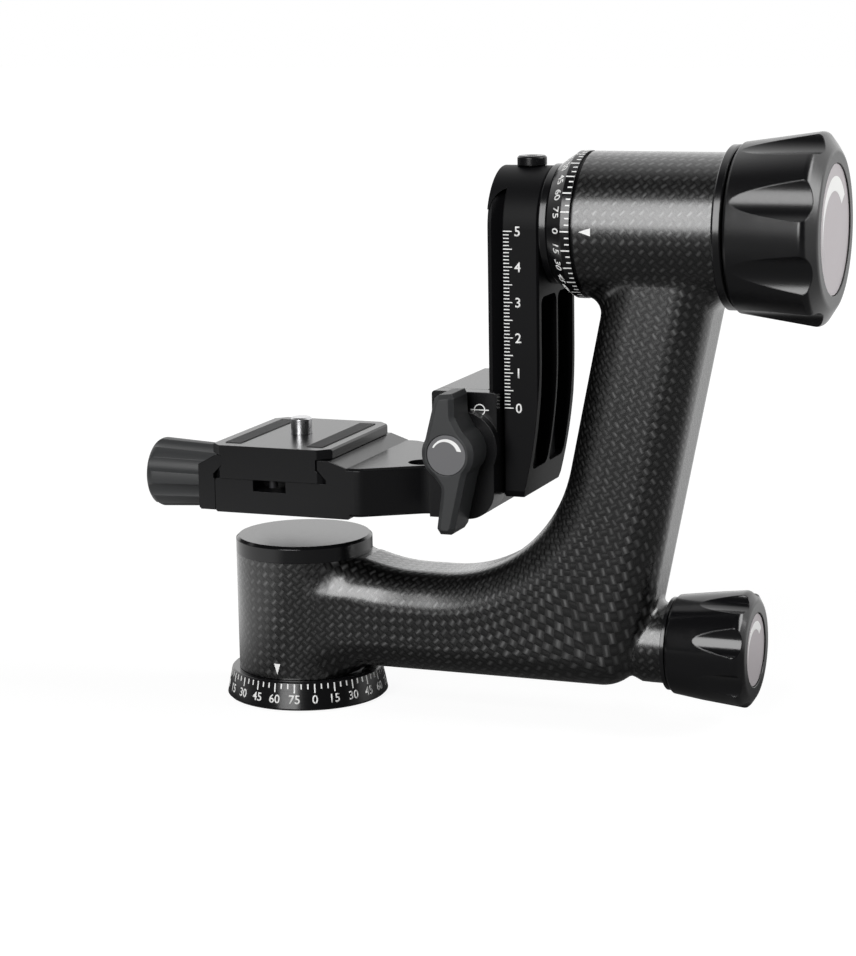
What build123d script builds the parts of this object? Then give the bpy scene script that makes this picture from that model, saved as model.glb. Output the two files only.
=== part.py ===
from build123d import *
import math
import os

# Gimbal head for a tripod, in millimetres.
# The origin lies on the pan axis, at the foot's lower face. +X runs along the lower arm,
# +Z is up and -Y is the side that carries the height scale.

# ---- Fits and clearances -----------------------------------------------------------------
running_fit = 0.05          # radial play of a shaft, pin or screw in its hole
face_gap = 0.15             # play between flat faces that turn or slide past each other
open_gap = 0.30             # gap between curved parts that never touch

# ---- Pan base ----------------------------------------------------------------------------
foot_radius = 19.5
foot_thickness = 5.0
dial_height = 8.7
dial_bottom_radius = 24.3
dial_top_radius = 22.8
tripod_thread_radius = 4.0  # minor radius of the 3/8 inch thread
tripod_thread_depth = 8.6
tripod_relief_radius = 4.6
tripod_relief_depth = 13.0  # room for the end of a long tripod stud
bush_wall = 2.5
spindle_bore_radius = 5.0
foot_screw_circle = 13.5
foot_screw_radius = 1.5
foot_screw_head_radius = 2.75
foot_screw_head_height = 2.8
foot_screw_length = 7.4
foot_screw_count = 3

# ---- Bearings, the same in both hubs -------------------------------------------------------
bearing_bore_radius = 10.0
bearing_outer_radius = 16.0
bearing_width = 7.0
race_thickness = 2.2
shield_thickness = 0.5
sleeve_wall = 1.8
sleeve_inner_shoulder = 1.4
drum_wall = 3.0
lower_bearing_inset = 0.75
upper_bearing_inset = 6.1
ring_nut_height = 4.0

# ---- Carbon arm ----------------------------------------------------------------------------
pan_hub_radius = 20.5
hub_step = 0.1              # the hub's end stands this far above the moulding beside it
cap_height = 5.0
cap_bevel = 0.8
arm_bottom = 10.0
arm_depth = 31.4            # size of the moulded tube in the plane of the L
arm_width = 31.4            # size of the tube across the plane of the L
arm_edge_radius = 10.5
arm_wall = 2.6
arm_heel_radius = 12.0
arm_bend_radius = 41.5
leg_lean = 11.5             # degrees outward from upright
leg_right_at_axis = 132.8   # where the leg's outer line crosses the tilt axis height
hub_rise_gap = 10.5         # from the hub's side to the foot of the rise
hub_rise_run = 9.0
hub_rise = 2.6
hub_rise_radius = 50.0
pan_blend_share = 1.73      # blend radius for each millimetre of the tube's flat width
tilt_blend_radius = 5.0
neck_blend_radius = 2.0
neck_radius = 11.6
neck_end = 114.7
neck_root = 98.0

# ---- Tilt hub ------------------------------------------------------------------------------
tilt_axis_height = 143.8
tilt_hub_radius = 20.7
tilt_hub_start = 92.1
tilt_hub_end = 131.1

# ---- Pan lock ------------------------------------------------------------------------------
brake_shoe_radius = 5.0
brake_screw_radius = 3.0
brake_pocket_depth = 3.0
neck_bush_radius = 8.0
neck_bush_length = 20.0
neck_flange_radius = 13.4
neck_flange_thickness = 1.1

# ---- Fluted knobs --------------------------------------------------------------------------
flute_count = 8
disc_thickness = 0.8
disc_gap = 0.4
pan_knob_small_radius = 14.3
pan_knob_large_radius = 17.1
pan_knob_length = 23.4
pan_knob_disc_radius = 10.4
pan_knob_flute_radius = 6.5
pan_knob_flute_depth = 2.2
pan_knob_flute_start = 8.8
pan_knob_flute_phase = 19.5
pan_knob_core_radius = 8.0
pan_knob_bevel = 3.2
tilt_knob_small_radius = 23.7
tilt_knob_large_radius = 26.8
tilt_knob_length = 25.9
tilt_knob_disc_radius = 18.0
tilt_knob_flute_radius = 9.0
tilt_knob_flute_depth = 2.9
tilt_knob_flute_start = 1.2
tilt_knob_flute_phase = 22.5
tilt_knob_core_radius = 13.0
tilt_knob_bevel = 5.0
tilt_knob_core_length = 14.5
knob_round = 2.0
knob_bevel_depth = 0.64       # of a knob's end bevel, for each millimetre of its width
knob_end_wall = 2.3
knob_travel = 1.25          # how far a locking knob backs off in one turn

# ---- Tilt shaft, collar and dial -----------------------------------------------------------
spindle_flange_radius = 17.0
spindle_flange_thickness = 2.6
spindle_shoulder_radius = 12.0
spindle_thread_radius = 8.0
tilt_dial_small_radius = 17.4
tilt_dial_large_radius = 20.8
tilt_dial_cone_length = 5.0
tilt_dial_rim_length = 2.6
tilt_groove_radius = 19.6
friction_washer_thickness = 0.5
tilt_collar_radius = 22.9
tilt_collar_thickness = 2.6
key_width = 4.0
key_height = 2.0
end_washer_radius = 9.5
end_washer_thickness = 1.5
end_screw_radius = 2.5
end_screw_length = 12.0
end_screw_head_radius = 4.2
end_screw_head_height = 2.5

# ---- Swing rail ----------------------------------------------------------------------------
rail_half_width = 16.4
rail_front = 70.0           # front of the rail's body, behind the dovetail
rail_back = 80.6
rail_bottom = 67.4
rail_bottom_chamfer = 1.8
rail_edge_radius = 1.2
dovetail_face = 65.4
dovetail_rim = 1.2
dovetail_inset = 0.4
runout_radius = 6.0         # end of the dovetail cutter's path
runout_setback = 2.0
runout_height = 149.0
rail_taper_depth = 5.1
rail_taper_start = 107.0
pocket_depth = 5.4
rail_rib = 1.2
pocket_wall = 2.4
pocket_bottom = 75.0
pocket_top = 124.5
rail_screw_circle = 8.0
rail_screw_reach = 8.4
rail_screw_radius = 2.0
rail_screw_head_radius = 3.6
rail_screw_head_height = 2.4
rail_screw_count = 4
top_screw_place = 73.5
top_screw_head_radius = 4.2
top_screw_head_height = 2.65
top_screw_bevel = 0.5
top_screw_socket_radius = 1.7
top_screw_socket_depth = 1.6
top_screw_radius = 2.0
top_screw_depth = 9.0

# ---- Height slide: block, jaw and lever ----------------------------------------------------
block_start = 50.0
block_bottom = 62.0
block_above_lever = 15.6    # from the lever's axis to the block's top
block_corner_radius = 8.0
jaw_thickness = 4.8
jaw_hook_length = 4.1
dovetail_play = 0.3
lever_axis_place = 59.8
lever_axis_height = 82.4
lever_boss_radius = 10.7
lever_boss_height = 3.0
lever_thickness = 12.0
lever_hub_radius = 7.7
lever_long = 22.8
lever_short = 16.8
lever_waist = 3.6
lever_edge_radius = 1.3
lever_disc_radius = 5.7
lever_bolt_radius = 3.0
lever_bolt_reach = 14.0
jaw_pin_radius = 2.0
jaw_pin_spacing = 22.0
jaw_pin_length = 10.0

# ---- Platform arm and plate clamp ----------------------------------------------------------
platform_top = 74.5
platform_bottom = 60.3
platform_taper_start = 28.2
platform_taper_end = 45.0
platform_waist_half_width = 13.4
platform_hole_radius = 4.2
platform_hole_place = 42.0
platform_hole_offset = 8.6
clamp_bottom = 59.5
clamp_seat = 69.6
clamp_half_length = 24.2
clamp_start = -17.4
clamp_notch_width = 10.4
clamp_notch_depth = 8.0
clamp_notch_height = 3.4
lip_height = 76.4
fixed_jaw_back = 24.5
clamp_jaw_thickness = 5.2
clamp_jaw_shoulder = 73.4
clamp_jaw_bottom = 60.0
clamp_pin_radius = 2.0
clamp_pin_spacing = 30.0
clamp_pin_length = 14.0
clamp_screw_radius = 2.5
clamp_screw_length = 20.0
clamp_screw_height = 65.5
clamp_washer_radius = 6.0
clamp_washer_thickness = 1.0
clamp_knob_radius = 10.6
clamp_knob_neck_radius = 9.3
clamp_knob_length = 24.0
clamp_knob_lobes = 8
clamp_knob_groove_radius = 4.0
clamp_knob_groove_depth = 0.9
clamp_knob_core_radius = 5.0

# ---- Quick-release plate -------------------------------------------------------------------
plate_half_width = 19.0
plate_half_length = 24.8
plate_top = 79.5
plate_flange = 2.9
plate_foot_half_width = 17.8
plate_foot_rim = 1.0
plate_neck_half_width = 15.0
plate_corner = 3.5
pad_width = 5.0
pad_recess = 0.8
pad_inset = 3.5
camera_screw_radius = 3.175
camera_screw_neck_radius = 2.5
camera_screw_height = 5.0
camera_screw_head_radius = 7.0
camera_screw_head_height = 2.6
stop_screw_radius = 1.3
stop_screw_drop = 2.6
stop_screw_inset = 3.6

# ---- Worked out from the sizes above -------------------------------------------------------
inner_race_radius = bearing_bore_radius + race_thickness
outer_race_radius = bearing_outer_radius - race_thickness
sleeve_radius = bearing_outer_radius + sleeve_wall
shoulder_bore_radius = bearing_outer_radius - sleeve_inner_shoulder
drum_radius = bearing_bore_radius + drum_wall
pan_hub_bottom = dial_height + face_gap
arm_top = arm_bottom + arm_depth
pan_hub_top = arm_top + hub_rise + hub_step
lower_bearing = pan_hub_bottom + lower_bearing_inset
upper_bearing = pan_hub_top - upper_bearing_inset - bearing_width
drum_length = upper_bearing - lower_bearing - bearing_width
pan_knob_height = lower_bearing + bearing_width + drum_length / 2
pan_blend_radius = pan_blend_share * (arm_width - 2 * arm_edge_radius)
hub_rise_start = pan_hub_radius + hub_rise_gap
lean_slope = math.tan(math.radians(leg_lean))
leg_span = arm_depth / math.cos(math.radians(leg_lean))
tilt_bearing_inset = 1.0
left_bearing = tilt_hub_start + tilt_bearing_inset
right_bearing = tilt_hub_end - tilt_bearing_inset - bearing_width
collar_start = tilt_hub_end + face_gap + friction_washer_thickness
collar_end = collar_start + tilt_collar_thickness
tilt_knob_start = collar_end + 0.6
pan_knob_start = neck_end + neck_flange_thickness + open_gap
spindle_end = tilt_knob_start + tilt_knob_core_length + knob_travel + 2 * open_gap
block_front = dovetail_face - open_gap
block_height = lever_axis_height + block_above_lever - block_bottom
head_half_width = rail_half_width - dovetail_inset
jaw_plane = head_half_width + dovetail_play
jaw_front = -(jaw_plane + jaw_thickness)
jaw_lip_reach = dovetail_face + jaw_hook_length
lever_back = jaw_front - lever_boss_height - face_gap
lever_front = lever_back - lever_thickness
clamp_jaw_end = clamp_start - face_gap
plate_bottom = clamp_seat + running_fit
groove_bottom = plate_bottom + plate_foot_rim + (plate_foot_half_width - plate_neck_half_width)


def upright(radius, bottom, top, x=0.0, y=0.0):
    """Round bar along Z."""
    bar = Cylinder(radius, top - bottom, align=(Align.CENTER, Align.CENTER, Align.MIN))
    return Pos(x, y, bottom) * bar


def along_x(radius, start, end, height, y=0.0):
    """Round bar along X."""
    bar = Cylinder(radius, end - start, align=(Align.CENTER, Align.CENTER, Align.MIN))
    return Pos(start, y, height) * Rot(0, 90, 0) * bar


def along_y(radius, start, end, x, height):
    """Round bar along Y."""
    bar = Cylinder(radius, end - start, align=(Align.CENTER, Align.CENTER, Align.MIN))
    return Pos(x, start, height) * Rot(-90, 0, 0) * bar


def block(x0, x1, y0, y1, z0, z1):
    """Square-edged block between two corners."""
    bar = Box(x1 - x0, y1 - y0, z1 - z0, align=(Align.MIN, Align.MIN, Align.MIN))
    return Pos(x0, y0, z0) * bar


def turned_upright(profile):
    """Solid turned about the pan axis from (radius, height) corners."""
    wire = Polyline(*[(r, 0, z) for r, z in profile], close=True)
    return revolve(make_face(wire), Axis.Z)


def turned_along_x(profile, height):
    """Solid turned about an axis along X from (place, radius) corners."""
    wire = Polyline(*[(x, 0, height + r) for x, r in profile], close=True)
    return revolve(make_face(wire), Axis((0, 0, height), (1, 0, 0)))


def around_x(shape, angle, height):
    """Shape turned by an angle about an axis along X."""
    return Pos(0, 0, height) * Rot(angle, 0, 0) * Pos(0, 0, -height) * shape


def side_prism(points, y0, y1):
    """Prism with an outline in the XZ plane, from y0 to y1."""
    face = make_face(Polyline(*[(x, y1, z) for x, z in points], close=True))
    return extrude(face, amount=y1 - y0, dir=(0, -1, 0))


# ---- Bearings ------------------------------------------------------------------------------
def inner_race_profile(start):
    return [(start, bearing_bore_radius), (start + bearing_width, bearing_bore_radius),
            (start + bearing_width, inner_race_radius), (start, inner_race_radius)]


def outer_race_profile(start):
    end = start + bearing_width
    shield_radius = inner_race_radius + open_gap / 2
    return [(start, bearing_outer_radius), (end, bearing_outer_radius), (end, shield_radius),
            (end - shield_thickness, shield_radius), (end - shield_thickness, outer_race_radius),
            (start + shield_thickness, outer_race_radius), (start + shield_thickness, shield_radius),
            (start, shield_radius)]


def upright_rings(profile, starts):
    rings = [turned_upright([(r, z) for z, r in profile(start)]) for start in starts]
    return Compound(children=rings)


def level_rings(profile, starts):
    rings = [turned_along_x(profile(start), tilt_axis_height) for start in starts]
    return Compound(children=rings)


# ---- Pan base ------------------------------------------------------------------------------
def foot_screw_places():
    return PolarLocations(foot_screw_circle, foot_screw_count, start_angle=30).locations


def base_plate():
    body = upright(foot_radius, 0, foot_thickness)
    body = chamfer(body.edges().group_by(Axis.Z)[0], 0.4)
    body -= upright(tripod_thread_radius + bush_wall, 0, foot_thickness)
    for place in foot_screw_places():
        body -= place * upright(foot_screw_radius + running_fit, 0, foot_thickness)
        body -= place * upright(foot_screw_head_radius + running_fit, 0, foot_screw_head_height)
    return body


def tripod_thread_bush():
    body = upright(tripod_thread_radius + bush_wall, 0, tripod_thread_depth)
    return body - upright(tripod_thread_radius, 0, tripod_thread_depth)


def base_screws():
    screws = []
    for place in foot_screw_places():
        head = upright(foot_screw_head_radius, 0.3, foot_screw_head_height)
        head -= extrude(Pos(0, 0, 0.3) * RegularPolygon(1.25, 6), amount=1.4)
        shank = upright(foot_screw_radius, foot_screw_head_height, foot_screw_length)
        screws.append(place * (head + shank))
    return Compound(children=screws)


def pan_dial_ring():
    inner = foot_radius - 2.0
    profile = [(foot_radius, 0.4), (dial_bottom_radius - 0.5, 0.4), (dial_bottom_radius, 0.9),
               (dial_top_radius, dial_height - 0.4), (dial_top_radius - 0.4, dial_height),
               (inner, dial_height), (inner, foot_thickness), (foot_radius, foot_thickness)]
    return turned_upright(profile)


def pan_spindle():
    flange_radius = foot_radius - 2.0
    flange_top = dial_height - 0.4
    bore = tripod_thread_radius + bush_wall
    body = upright(flange_radius, foot_thickness, flange_top)
    body += upright(inner_race_radius, flange_top, lower_bearing)
    body += upright(bearing_bore_radius, lower_bearing, upper_bearing + bearing_width + ring_nut_height)
    body -= upright(bore, foot_thickness, tripod_thread_depth)
    body -= upright(tripod_relief_radius, tripod_thread_depth, tripod_relief_depth)
    for place in foot_screw_places():
        body -= place * upright(foot_screw_radius, foot_thickness, foot_screw_length)
    top = upper_bearing + bearing_width + ring_nut_height
    return body - upright(spindle_bore_radius, tripod_relief_depth + 3.0, top)


def pan_brake_drum():
    start = lower_bearing + bearing_width
    return turned_upright([(bearing_bore_radius, start), (drum_radius, start),
                           (drum_radius, start + drum_length), (bearing_bore_radius, start + drum_length)])


def pan_ring_nut():
    start = upper_bearing + bearing_width
    body = upright(drum_radius, start, start + ring_nut_height)
    body -= upright(bearing_bore_radius, start, start + ring_nut_height)
    for place in PolarLocations(drum_radius, 4).locations:
        body -= place * block(-1.5, 1.5, -1.8, 1.8, start + 1.6, start + ring_nut_height)
    return body


# ---- Carbon arm ----------------------------------------------------------------------------
def leg_right(height):
    """The leg's outer line at a height."""
    return leg_right_at_axis - (tilt_axis_height - height) * lean_slope


def arm_outline(inset):
    """Side outline of the moulded L, from hub centre round the heel and back, less an inset."""
    leg_end = tilt_axis_height - tilt_hub_radius / 2
    side = inset / math.cos(math.radians(leg_lean))
    low, high = arm_bottom + inset, arm_top - inset
    points = [(0, 0, low),
              (leg_right(low) - side, 0, low),
              (leg_right(leg_end) - side, 0, leg_end),
              (leg_right(leg_end) - leg_span + side, 0, leg_end),
              (leg_right(high) - leg_span + side, 0, high),
              (hub_rise_start, 0, high),
              (hub_rise_start - hub_rise_run, 0, high + hub_rise),
              (0, 0, high + hub_rise)]
    radii = [0, arm_heel_radius - inset, 0, 0, arm_bend_radius + inset, hub_rise_radius, 0, 0]
    return make_face(FilletPolyline(*points, radius=radii, close=True))


def arm_body(inset):
    tube = extrude(arm_outline(inset), amount=arm_width / 2 - inset, both=True)
    sides = tube.faces().filter_by(Axis.Y)
    long_edges = [e for face in sides for e in face.edges() if e.center().X > 1.0
                  and e.center().Z < tilt_axis_height - tilt_hub_radius / 2 - 0.1]
    return fillet(long_edges, arm_edge_radius - inset)


def arm_hollow():
    """Space inside the moulding, a wall's thickness from the outside and from each liner."""
    body = arm_body(arm_wall)
    body -= upright(sleeve_radius + arm_wall, 0, 2 * arm_top)
    body -= along_x(sleeve_radius + arm_wall, 0, 2 * tilt_hub_end, tilt_axis_height)
    bush_start = neck_end - neck_bush_length
    return body - along_x(neck_bush_radius + arm_wall, bush_start - arm_wall, neck_end, pan_knob_height)


def on_cylinder(edge, distance, radius):
    """Whether an edge lies on a cylinder, given a function for the distance to its axis."""
    steps = (0.02, 0.25, 0.5, 0.75, 0.98)
    return all(abs(distance(edge @ step) - radius) < 0.02 for step in steps)


def from_pan_axis(point):
    return math.hypot(point.X, point.Y)


def from_tilt_axis(point):
    return math.hypot(point.Y, point.Z - tilt_axis_height)


def from_neck_axis(point):
    return math.hypot(point.Y, point.Z - pan_knob_height)


def blend_pan_hub(body):
    """Hollow blend where the tube's sides run into the pan hub."""
    joins = [e for e in body.edges() if on_cylinder(e, from_pan_axis, pan_hub_radius)
             and e.center().X > 0 and abs(e.center().Y) > pan_hub_radius / 4
             and pan_hub_bottom + 0.1 < e.center().Z < pan_hub_top - 0.05]
    return fillet(joins, pan_blend_radius)


def blend_tilt_hub(body):
    """Fillet under the tilt hub, where the leg meets it."""
    joins = [e for e in body.edges() if on_cylinder(e, from_tilt_axis, tilt_hub_radius)
             and e.center().Z < tilt_axis_height and e.geom_type != GeomType.CIRCLE
             and not (e.geom_type == GeomType.LINE and abs(e.center().Y) < 1.0)]
    return fillet(joins, tilt_blend_radius)


def blend_neck(body):
    """Small fillet round the root of the neck."""
    joins = [e for e in body.edges() if on_cylinder(e, from_neck_axis, neck_radius)
             and e.center().X < neck_end - 0.5 and e.geom_type == GeomType.BSPLINE]
    return fillet(joins, neck_blend_radius)


def carbon_arm():
    body = blend_pan_hub(arm_body(0) + upright(pan_hub_radius, pan_hub_bottom, pan_hub_top))
    body = blend_tilt_hub(body + along_x(tilt_hub_radius, tilt_hub_start, tilt_hub_end, tilt_axis_height))
    body = blend_neck(body + along_x(neck_radius, neck_root, neck_end, pan_knob_height))
    body -= upright(sleeve_radius, 0, pan_hub_top + 1)
    body -= along_x(sleeve_radius, tilt_hub_start - 1, tilt_hub_end + 1, tilt_axis_height)
    body -= along_x(brake_shoe_radius + open_gap, 0, neck_end, pan_knob_height)
    body -= along_x(neck_bush_radius, neck_end - neck_bush_length, neck_end, pan_knob_height)
    return body - arm_hollow()


def sleeve_profile(start, end, first_seat_end, second_seat_start):
    return [(start, bearing_outer_radius), (start, sleeve_radius), (end, sleeve_radius),
            (end, bearing_outer_radius), (second_seat_start, bearing_outer_radius),
            (second_seat_start, shoulder_bore_radius), (first_seat_end, shoulder_bore_radius),
            (first_seat_end, bearing_outer_radius)]


def pan_hub_sleeve():
    profile = sleeve_profile(pan_hub_bottom + 0.2, pan_hub_top - 0.4,
                             lower_bearing + bearing_width, upper_bearing)
    body = turned_upright([(r, z) for z, r in profile])
    return body - along_x(brake_shoe_radius + running_fit, 0, sleeve_radius + 1, pan_knob_height)


def pan_cap():
    """Turned cap with a tubular spigot that holds the upper bearing's outer ring down."""
    top = pan_hub_top + cap_height
    spigot_inner = outer_race_radius + 0.4
    return turned_upright([(0, pan_hub_top), (spigot_inner, pan_hub_top),
                           (spigot_inner, upper_bearing + bearing_width),
                           (bearing_outer_radius, upper_bearing + bearing_width),
                           (bearing_outer_radius, pan_hub_top), (pan_hub_radius, pan_hub_top),
                           (pan_hub_radius, top - cap_bevel), (pan_hub_radius - cap_bevel, top),
                           (0, top)])


def tilt_hub_sleeve():
    profile = sleeve_profile(tilt_hub_start + 0.3, tilt_hub_end - 0.3,
                             left_bearing + bearing_width, right_bearing)
    return turned_along_x(profile, tilt_axis_height)


def pan_knob_bush():
    """Threaded bush bonded in the neck, with the flange that shows beside the knob."""
    start = neck_end - neck_bush_length
    bore = brake_screw_radius + running_fit
    return turned_along_x([(start, bore), (start, neck_bush_radius), (neck_end, neck_bush_radius),
                           (neck_end, neck_flange_radius),
                           (neck_end + neck_flange_thickness, neck_flange_radius),
                           (neck_end + neck_flange_thickness, bore)], pan_knob_height)


# ---- Fluted knobs --------------------------------------------------------------------------
def knob_body(start, height, small, large, length, bevel, disc_radius):
    """Tapered grip with a bevelled far end and a shallow recess for the label disc."""
    recess = disc_thickness + disc_gap
    shoulder = start + length - bevel * knob_bevel_depth
    body = turned_along_x([(start, 0), (start, small - 0.7), (start + 0.7, small),
                           (shoulder, large), (start + length, large - bevel),
                           (start + length, 0)], height)
    rim = [e for e in body.edges().filter_by(GeomType.CIRCLE) if e.center().X > shoulder - 0.01]
    body = fillet(rim, knob_round)
    return body - along_x(disc_radius + disc_gap / 2, start + length - recess, start + length + 1, height)


def cut_flutes(body, start, height, small, large, length, flute_start, flute_radius, depth, phase):
    """Round flutes that begin at a point and deepen towards the knob's wide end."""
    first = small + (large - small) * flute_start / length
    fall = math.degrees(math.atan2(large - depth - first, length - flute_start))
    bar = along_x(flute_radius, -length, 2 * length, flute_radius)
    cutter = Pos(start + flute_start, 0, height + first) * Rot(0, -fall, 0) * bar
    for number in range(flute_count):
        angle = 90 - phase - number * 360 / flute_count
        body -= around_x(cutter, angle, height)
    return body


def pan_knob():
    body = knob_body(pan_knob_start, pan_knob_height, pan_knob_small_radius, pan_knob_large_radius,
                     pan_knob_length, pan_knob_bevel, pan_knob_disc_radius)
    body = cut_flutes(body, pan_knob_start, pan_knob_height, pan_knob_small_radius,
                      pan_knob_large_radius, pan_knob_length, pan_knob_flute_start,
                      pan_knob_flute_radius, pan_knob_flute_depth, pan_knob_flute_phase)
    return body - along_x(pan_knob_core_radius, pan_knob_start, pan_core_end(), pan_knob_height)


def pan_core_end():
    return pan_knob_start + pan_knob_length - disc_thickness - disc_gap - knob_end_wall


def pan_knob_core():
    body = along_x(pan_knob_core_radius, pan_knob_start, pan_core_end(), pan_knob_height)
    return body - along_x(brake_screw_radius, pan_knob_start, pan_core_end(), pan_knob_height)


def label_disc(start, length, radius, height):
    face = start + length - disc_gap
    return along_x(radius, face - disc_thickness, face, height)


def pan_knob_disc():
    return label_disc(pan_knob_start, pan_knob_length, pan_knob_disc_radius, pan_knob_height)


def brake_shoe_end():
    return sleeve_radius + brake_pocket_depth + 3.0


def pan_brake_shoe():
    """Brass plug with a hollow nose that fits round the drum and a pocket for the screw."""
    body = along_x(brake_shoe_radius, 0, brake_shoe_end(), pan_knob_height)
    body -= upright(drum_radius + running_fit, 0, pan_hub_top)
    pocket_start = brake_shoe_end() - brake_pocket_depth
    return body - along_x(brake_screw_radius + running_fit, pocket_start, brake_shoe_end(), pan_knob_height)


def pan_brake_screw():
    start = brake_shoe_end() - brake_pocket_depth + running_fit
    return along_x(brake_screw_radius, start, pan_core_end(), pan_knob_height)


def tilt_knob():
    body = knob_body(tilt_knob_start, tilt_axis_height, tilt_knob_small_radius,
                     tilt_knob_large_radius, tilt_knob_length, tilt_knob_bevel,
                     tilt_knob_disc_radius)
    body = cut_flutes(body, tilt_knob_start, tilt_axis_height, tilt_knob_small_radius,
                      tilt_knob_large_radius, tilt_knob_length, tilt_knob_flute_start,
                      tilt_knob_flute_radius, tilt_knob_flute_depth, tilt_knob_flute_phase)
    core_end = tilt_knob_start + tilt_knob_core_length
    cavity_end = tilt_knob_start + tilt_knob_length - disc_thickness - disc_gap - knob_end_wall
    body -= along_x(tilt_knob_core_radius, tilt_knob_start, core_end, tilt_axis_height)
    return body - along_x(end_washer_radius + 1.3, core_end, cavity_end, tilt_axis_height)


def tilt_knob_core():
    end = tilt_knob_start + tilt_knob_core_length
    body = along_x(tilt_knob_core_radius, tilt_knob_start, end, tilt_axis_height)
    return body - along_x(spindle_thread_radius + running_fit, tilt_knob_start, end, tilt_axis_height)


def tilt_knob_disc():
    return label_disc(tilt_knob_start, tilt_knob_length, tilt_knob_disc_radius, tilt_axis_height)


# ---- Tilt shaft, dial and collar -----------------------------------------------------------
def key_block(play):
    """Feather key, or its slot when there is play."""
    top = tilt_axis_height + bearing_bore_radius + key_height + play
    return block(tilt_hub_end - 0.6, collar_end + open_gap, -key_width / 2 - play,
                 key_width / 2 + play, top - 2 * key_height - play, top)


def tilt_spindle():
    journal_end = collar_end + open_gap
    flange_end = rail_back + spindle_flange_thickness
    body = turned_along_x([(rail_back, 0), (rail_back, spindle_flange_radius - 0.4),
                           (rail_back + 0.4, spindle_flange_radius),
                           (flange_end - 0.4, spindle_flange_radius),
                           (flange_end, spindle_flange_radius - 0.4),
                           (flange_end, spindle_shoulder_radius),
                           (left_bearing, spindle_shoulder_radius),
                           (left_bearing, bearing_bore_radius), (journal_end, bearing_bore_radius),
                           (journal_end, spindle_thread_radius),
                           (spindle_end, spindle_thread_radius), (spindle_end, 0)], tilt_axis_height)
    body -= along_x(end_screw_radius, spindle_end - end_screw_length, spindle_end, tilt_axis_height)
    for angle in rail_screw_angles():
        hole = along_x(rail_screw_radius, rail_back, rail_back + rail_screw_reach,
                       tilt_axis_height + rail_screw_circle)
        body -= around_x(hole, angle, tilt_axis_height)
    return body - key_block(0)


def tilt_bearing_spacer():
    start, end = left_bearing + bearing_width, right_bearing
    return turned_along_x([(start, bearing_bore_radius), (start, spindle_shoulder_radius),
                           (end, spindle_shoulder_radius), (end, bearing_bore_radius)],
                          tilt_axis_height)


def tilt_dial():
    """Conical dial with a groove behind its rim."""
    start = rail_back + spindle_flange_thickness + 0.2
    rim = start + tilt_dial_cone_length
    groove = rim + tilt_dial_rim_length
    end = tilt_hub_start - face_gap
    return turned_along_x([(start, spindle_shoulder_radius), (start, tilt_dial_small_radius),
                           (rim, tilt_dial_large_radius), (groove, tilt_dial_large_radius),
                           (groove, tilt_groove_radius), (end, tilt_groove_radius),
                           (end, spindle_shoulder_radius)], tilt_axis_height)


def tilt_friction_washer():
    start = collar_start - friction_washer_thickness
    return turned_along_x([(start, shoulder_bore_radius), (start, tilt_groove_radius),
                           (collar_start, tilt_groove_radius), (collar_start, shoulder_bore_radius)],
                          tilt_axis_height)


def tilt_collar():
    bore = bearing_bore_radius + running_fit
    body = turned_along_x([(collar_start, bore), (collar_start, tilt_collar_radius - 0.4),
                           (collar_start + 0.4, tilt_collar_radius),
                           (collar_end - 0.4, tilt_collar_radius),
                           (collar_end, tilt_collar_radius - 0.4), (collar_end, bore)],
                          tilt_axis_height)
    return body - key_block(running_fit)


def tilt_key():
    return key_block(0)


def tilt_end_washer():
    end = spindle_end + end_washer_thickness
    body = along_x(end_washer_radius, spindle_end, end, tilt_axis_height)
    return body - along_x(end_screw_radius, spindle_end, end, tilt_axis_height)


def tilt_end_screw():
    head_start = spindle_end + end_washer_thickness
    body = along_x(end_screw_radius, spindle_end - end_screw_length, head_start, tilt_axis_height)
    body += along_x(end_screw_head_radius, head_start, head_start + end_screw_head_height,
                    tilt_axis_height)
    socket = Plane.YZ.offset(head_start + 1.0) * Pos(0, tilt_axis_height) * RegularPolygon(2.3, 6)
    return body - extrude(socket, amount=end_screw_head_height)


# ---- Swing rail ----------------------------------------------------------------------------
def rail_half_section():
    """Half of the rail's cross-section, as place along X and distance from the middle."""
    edge = rail_edge_radius
    return [(dovetail_face, 0), (dovetail_face, head_half_width - 0.4),
            (dovetail_face + 0.4, head_half_width), (dovetail_face + dovetail_rim, head_half_width),
            (rail_front, head_half_width - (rail_front - dovetail_face - dovetail_rim)),
            (rail_front, rail_half_width - 0.3), (rail_front + 0.3, rail_half_width),
            (rail_back - edge / 2, rail_half_width), (rail_back, rail_half_width - edge / 2),
            (rail_back, 0)]


def rail_screw_angles():
    return [45 + number * 360 / rail_screw_count for number in range(rail_screw_count)]


def dovetail_end():
    """The rail's full width on top, above the arc where the dovetail cutter ran out."""
    body = along_x(rail_half_width, dovetail_face, rail_front + 1, tilt_axis_height)
    body -= block(dovetail_face - 1, rail_front + 2, -2 * rail_half_width, 2 * rail_half_width,
                  0, runout_height)
    return body - along_y(runout_radius, -2 * rail_half_width, 2 * rail_half_width,
                          rail_front + runout_setback, runout_height)


def swing_rail():
    half = rail_half_section()
    outline = [(x, y, rail_bottom) for x, y in half]
    outline += [(x, -y, rail_bottom) for x, y in reversed(half[1:-1])]
    body = extrude(make_face(Polyline(*outline, close=True)),
                   amount=tilt_axis_height - rail_bottom, dir=(0, 0, 1))
    body += turned_along_x(half, tilt_axis_height) + dovetail_end()
    return cut_rail_holes(cut_rail_pockets(shape_rail_foot(body)))


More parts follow.
